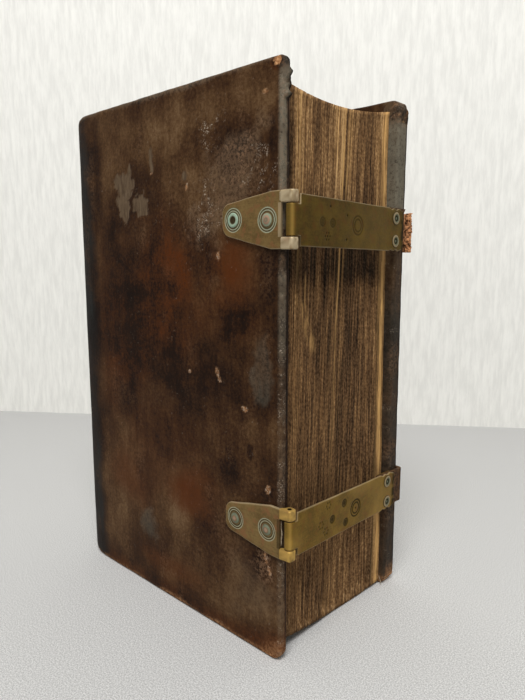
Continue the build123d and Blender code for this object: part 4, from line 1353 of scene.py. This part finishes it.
def clasp_plate(name, level, slope, width):
    """A hook plate, rolled round the catch bar and punched with rings and flowers."""
    mid = (hook_inner + hook_outer) / 2
    roll_length = mid * hook_wrap
    run = np.array([far_face - hook_face, plate_bend])
    slant = np.hypot(*run)
    total = slant + (plate_end - plate_bend)
    steps = np.array([0, 0.08, 0.2, 0.36])
    out = np.concatenate(
        [
            graded(-roll_length, 0, 0.2, steps)[:-1],
            np.linspace(0, tongue_end - 0.05, 14)[:-1],
            tongue_end + np.array([-0.05, 0.0, 0.03, 0.08, 0.2, 0.36]),
            graded(tongue_end + 0.5, total, 0.24, steps)[3:],
        ]
    )
    shares = graded(0, width, 0.24, steps) / width
    full = width / 2 - corner_cut(total - out, 2.2) - 0.10 * (1 + cloud(out, out * 0, 6.0, 603))
    scallop = 0.25 * (1 - np.cos(2 * pi * (total - out) / 3.6)) * window(total - 9, total, out, 1.5)
    full = full - scallop
    lead = smooth(tongue_end - 0.01, tongue_end + 0.2, out)
    half = tongue_half + (full - tongue_half) * (0.9 + 0.1 * lead)
    half = np.where(out < tongue_end, tongue_half, half)
    rise = np.maximum(out, 0) * np.tan(slope)
    along = np.repeat(out[:, None], len(shares), axis=1)
    across = (level + rise - half)[:, None] + shares[None, :] * (2 * half)[:, None]
    side = np.minimum(shares[None, :], 1 - shares[None, :]) * (2 * half)[:, None]
    distance = np.minimum.reduce([side, along - out[0], total - along])
    off = across - (level + rise)[:, None]
    grooves = np.zeros_like(along)
    dots = np.zeros_like(along)
    for reach, above, radii, strength in ornaments[name]:
        for radius in radii:
            ring = strength * ring_line(along, off + rise[:, None], (reach, above), radius, 0.62)
            grooves = np.maximum(grooves, ring)
    for reach, above in punched_dots[name]:
        spread = np.hypot(along - reach, off + rise[:, None] - above)
        dots = np.maximum(dots, 1 - smooth(0.25, 0.55, spread))
    for reach, above in flowers[name]:
        for petal in range(6):
            heart = (reach + 1.25 * cos(petal * pi / 3), above + 1.25 * sin(petal * pi / 3))
            spread = np.hypot(along - heart[0], off + rise[:, None] - heart[1])
            dots = np.maximum(dots, 0.8 * (1 - smooth(0.2, 0.5, spread)))
    relief = 0.15 * grooves + 0.2 * dots + 0.05 * (1 + cloud(along, across, 11.0, 601, octaves=3))
    relief += 0.2 * smooth(1.2, 0.0, total - along) ** 2
    unit = run / slant
    normal = np.array([unit[1], -unit[0]])

    def place(reach, up, depth):
        turn = -np.minimum(reach, 0) / mid
        radius = hook_outer - depth
        roll_x = bar_x + radius * np.cos(turn)
        roll_y = -radius * np.sin(turn)
        flat = np.maximum(reach, 0)
        on_slant = np.minimum(flat, slant)
        past = np.maximum(flat - slant, 0)
        x = hook_face + unit[0] * on_slant - depth * np.where(past > 0, 1.0, normal[0])
        y = unit[1] * on_slant + past - depth * np.where(past > 0, 0.0, normal[1])
        rolled = reach < 0
        return (
            fore_x + np.where(rolled, roll_x, x),
            front_y + bar_depth + np.where(rolled, roll_y, y),
            up,
        )

    def depth(reach, up):
        return plate_thickness + 0 * reach

    def inner(reach, up):
        share = np.clip(reach, out[0] + 0.6, total - 0.6)
        reach_half = np.where(share < tongue_end, tongue_half, width / 2) - 0.6
        middle = level + np.maximum(share, 0) * np.tan(slope)
        return share, np.clip(up, middle - reach_half, middle + reach_half)

    slab = Slab(along, across, distance, place, depth, 0.3, relief, inner, (0.15, 0.4, 1.0))
    slab.close()
    material = clasp_brass if name == "upper" else bright_brass
    piece = new_mesh(
        f"{name}_hook_plate", slab.points, slab.faces, material, f"{name}_clasp",
        [f"{name}_clasp_plate"],
    )
    masks = no_masks(len(slab.points))
    grid = along.size
    ends = smooth(5.0, 0.5, total - along)
    stain = ends * smooth(0.35, 0.7, value_noise(along / 1.6, across / 1.6, 613))
    far = 0.5 * smooth(3.0, 1.2, total - along)
    marks = np.maximum(grooves, dots)
    masks["pit"][:grid] = np.clip(0.95 * marks + 0.5 * stain + far, 0, 1).ravel()
    # A painted highlight on the rolled hook: a little over the whole roll and a bright band where it
    # faces the camera; the lines after it add handled wear
    worn = 0.10 * smooth(1.0, -1.0, along)
    worn = worn + 0.30 * np.exp(-(((along + 1.0) / 0.5) ** 2)) * (along < 0.2)
    worn += 0.05 * (name == "upper") * smooth(24, 44, along)
    worn += 0.20 * (name == "lower") * smooth(0.35, 0.75, value_noise(along / 14, across / 9, 611))
    masks["shine"][:grid] = np.clip(worn, 0, 1).ravel()
    edge = smooth(0.42, 0.08, distance) * (0.35 + 0.65 * value_noise(along / 4, across / 4, 615))
    masks["pale"][:grid] = (0.45 * edge * (along > 1)).ravel()
    masks["pale"][slab.zone == 1] = 0.4
    set_masks(piece, masks)


clasps = {
    "upper": (151.3, 0.9, radians(-0.8), 16.2),
    "lower": (48.6, -0.9, radians(-3.0), 15.4),
}
strap_rivet_level = 62.4
strap_rivet_half = 4.25
outward_front = np.array([0, -1.0, 0])
outward_fore = np.array([1.0, 0, 0])
for name, (level, rise, slope, width) in clasps.items():
    catch_plate(name, level, rise)
    clasp_plate(name, level, slope, width)
    hearts = [catch_heart(level, rise, reach) for reach in catch_spots]
    lathed_heads(
        f"{name}_catch_heads",
        [(fore_x - reach, front_y - catch_thickness, up) for reach, up in hearts],
        catch_heads[name], "front_cover", catch_brass, [f"{name}_catch_rivets"],
        outward_front, np.array([1.0, 0, 0]),
    )
    middle = level + (strap_rivet_level - bar_depth) * np.tan(slope)
    lathed_heads(
        f"{name}_clasp_heads",
        [
            (fore_x + far_face, front_y + strap_rivet_level, middle + side * strap_rivet_half)
            for side in (-1, 1)
        ],
        (ring_head, ring_head), f"{name}_clasp", clasp_brass, [f"{name}_strap_rivets"],
        outward_fore, np.array([0, 1.0, 0]),
    )


# Straps

strap_thickness = 1.5
bend_radius = 0.8
leg_length = 18.0
stub_limit = 67.9
stub_rise = 0.4


def swept_faces(points):
    """Faces of closed loops of points, with both ends filled."""
    index = np.arange(points.size // 3).reshape(points.shape[:2])
    return loop_quads(index).tolist() + [index[0].tolist(), index[-1, ::-1].tolist()]


def torn_stub(level, width):
    """What is left of the upper strap: its leg on the back cover and a torn, fibrous end."""
    bend_y = back_y - bend_radius
    outer = bend_radius + strap_thickness
    leg = np.linspace(-leg_length, 0, 24)
    turns = np.linspace(pi / 2, 0, 12)
    swell = 1.5 * (1 - turns / (pi / 2)) ** 0.7
    outside = np.concatenate(
        [
            np.stack([fore_x + leg, bend_y + outer + 0 * leg], -1),
            np.stack(
                [fore_x + (outer + swell) * np.cos(turns), bend_y + outer * np.sin(turns)], -1
            ),
        ]
    )
    lip = np.stack(
        [np.linspace(fore_x + outer + 1.5, fore_x + bend_radius, 12), np.full(12, bend_y)], -1
    )
    inside = np.concatenate(
        [
            np.stack(
                [
                    fore_x + bend_radius * np.cos(turns[::-1]),
                    bend_y + bend_radius * np.sin(turns[::-1]),
                ],
                -1,
            ),
            np.stack([fore_x + leg[::-1], back_y + 0 * leg], -1),
        ]
    )
    section = np.concatenate([outside, lip[1:-1], inside])
    torn = np.zeros(len(section))
    torn[24:46] = 1.0
    torn[20:24] = (0.2, 0.4, 0.6, 0.8)
    run = np.concatenate([[0], np.cumsum(np.hypot(*np.diff(section, axis=0).T))])
    levels = level + np.linspace(-width / 2, width / 2, 64)
    points = np.zeros((len(levels), len(section), 3))
    points[..., :2] = section[None]
    points[..., 2] = levels[:, None]
    u, v = levels[:, None] + 0 * run, run[None, :] + 0 * levels[:, None]
    lumps = cloud(u, v, 2.4, 701, octaves=4, gain=0.7)
    other = cloud(u, v, 2.0, 711, octaves=4, gain=0.7)
    points[..., 0] += torn * (0.9 * lumps - 0.25)
    points[..., 1] += torn * (0.9 * other - 0.5)
    points[..., 2] += 0.5 * torn * cloud(v, u, 1.8, 721) * (np.abs(u - level) > width / 2 - 1.5)
    points[..., 0] = np.minimum(points[..., 0], stub_limit)
    points[..., 1] = np.minimum(points[..., 1], back_y + strap_thickness + stub_rise)
    new_mesh(
        "upper_strap_stub", points.reshape(-1, 3), swept_faces(points), torn_leather, "back_cover",
        ["upper_strap_tail"],
    )


torn_stub(clasps["upper"][0] - 1.6, clasps["upper"][3] - 1.0)


def strand(name, path, width, body):
    """A loose fibre: a thin flat ribbon that follows a path."""
    path = np.array(path, float)
    run = np.linspace(0, 1, 40)
    middle = np.stack([np.interp(run, np.linspace(0, 1, len(path)), part) for part in path.T], -1)
    middle[:, 0] += 0.35 * cloud(middle[:, 2], run * 0, 2.2, 801)
    turns = np.linspace(0, 2 * pi, 8, endpoint=False)
    wide = width * (0.35 + 0.65 * value_noise(middle[:, 2] / 0.9, run * 0, 803)) * np.sin(pi * run) ** 0.4
    points = np.stack(
        [
            middle[:, None, 0] + wide[:, None] * np.cos(turns),
            middle[:, None, 1] + 0.14 * np.sin(turns) * np.sin(pi * run)[:, None] ** 0.4,
            middle[:, None, 2] + 0 * turns,
        ],
        -1,
    )
    new_mesh(name, points.reshape(-1, 3), swept_faces(points), linen, body)


fibre_path = [(63.1, -37.75, 53.3), (63.3, -37.8, 48), (63.0, -37.75, 43.9)]
strand("window_fibre", fibre_path, 0.5, "front_cover")
strand("tail_fibre", [(60.5, 30.0, 4.0), (61.5, 29.6, 2.0), (62.3, 29.4, 0.3)], 0.22, "text_block")

# CAD pieces that keep their own form
kept = [
    (lining_paper, ["front_pastedown", "back_pastedown"]),
    (oak, ["front_board", "back_board"]),
    (hemp, ["sewing_cords"]),
    (linen, ["head_endband", "tail_endband"]),
    (catch_brass, ["upper_catch_bar", "lower_catch_bar"]),
    (clasp_brass, ["upper_backing_plate", "lower_backing_plate"]),
    (clasp_brass, ["upper_tail_tacks", "lower_tail_tacks"]),
    (strap_leather, ["upper_strap", "lower_strap", "lower_strap_tail"]),
]
for material, names in kept:
    for name in names:
        nodes[name].data.materials.clear()
        nodes[name].data.materials.append(material)


# Floor, wall, light and camera


def stage_plane(name, points, colour, size, scale=None, bump=0.2, depth=0.86, low=0.3, high=0.7):
    """A pale surface that the book stands on or in front of, seen from its front only."""
    mesh = bpy.data.meshes.new(name)
    mesh.from_pydata(points, [], [list(range(len(points)))])
    plane = bpy.data.objects.new(name, mesh)
    bpy.context.scene.collection.objects.link(plane)
    dark = tuple(part * depth for part in colour)
    material = plain_material(name, dark, colour, size, 0.9, scale, bump, 0.3, low, high)
    tree = material.node_tree
    behind = node(tree, "NewGeometry").outputs["Backfacing"]
    clear = node(tree, "BsdfTransparent").outputs[0]
    seen = tree.nodes["Principled BSDF"].outputs[0]
    one_sided = node(tree, "MixShader", {0: behind, 1: seen, 2: clear})
    tree.links.new(one_sided.outputs[0], tree.nodes["Material Output"].inputs["Surface"])
    plane.data.materials.append(material)


camera_place = Vector((0.1837, -0.17665, 0.1390))
camera_yaw = radians(-42.90)
camera_pitch = radians(-8.75)
ahead = Vector(
    (sin(camera_yaw) * cos(camera_pitch), cos(camera_yaw) * cos(camera_pitch), sin(camera_pitch))
)
camera_data = bpy.data.cameras.new("camera")
camera_data.lens = 30.02
camera_data.sensor_width = 36.0
camera_data.clip_start = 0.01
camera = bpy.data.objects.new("camera", camera_data)
camera.location = camera_place
camera.rotation_euler = ahead.to_track_quat("-Z", "Y").to_euler()
bpy.context.scene.collection.objects.link(camera)
bpy.context.scene.camera = camera

level_ahead = Vector((ahead.x, ahead.y, 0)).normalized()
to_right = Vector((level_ahead.y, -level_ahead.x, 0))
wall_distance = 0.4997
wall_turn = -0.1231
floor_reach = 4.0
wall_foot = Vector((camera_place.x, camera_place.y, 0)) + level_ahead * wall_distance
along_wall = (to_right + level_ahead * wall_turn).normalized() * floor_reach
near_side = level_ahead * 2 * floor_reach
up_wall = Vector((0, 0, 3))


def sheet_corners(foot, reach):
    """Corners of a plane that runs along the wall and reaches out from a foot line."""
    left, right = foot - along_wall, foot + along_wall
    return [tuple(corner) for corner in (left, right, right + reach, left + reach)]


stage_plane(
    "floor", sheet_corners(wall_foot - near_side, near_side), (0.64, 0.635, 0.62), 0.5,
    bump=0.5, depth=0.60, low=0.38, high=0.62,
)
stage_plane(
    "wall", sheet_corners(wall_foot, up_wall), (0.87, 0.86, 0.81), 3.4, (1, 1, 0.16), depth=0.87
)


def area_light(name, place, target, size, power):
    data = bpy.data.lights.new(name, "AREA")
    data.shape = "DISK"
    data.size = size
    data.energy = power
    light = bpy.data.objects.new(name, data)
    light.location = place
    light.rotation_euler = (Vector(target) - Vector(place)).to_track_quat("-Z", "Y").to_euler()
    bpy.context.scene.collection.objects.link(light)


book_heart = (0.0, 0.0, 0.1)
area_light("window", (0.42, -0.52, 1.10), book_heart, 0.6, 15.0)
world = bpy.data.worlds.new("room_light")
world.use_nodes = True
world.node_tree.nodes["Background"].inputs["Color"].default_value = (1.0, 1.0, 1.0, 1.0)
world.node_tree.nodes["Background"].inputs["Strength"].default_value = 0.4
bpy.context.scene.world = world
bpy.context.scene.view_settings.view_transform = "Standard"
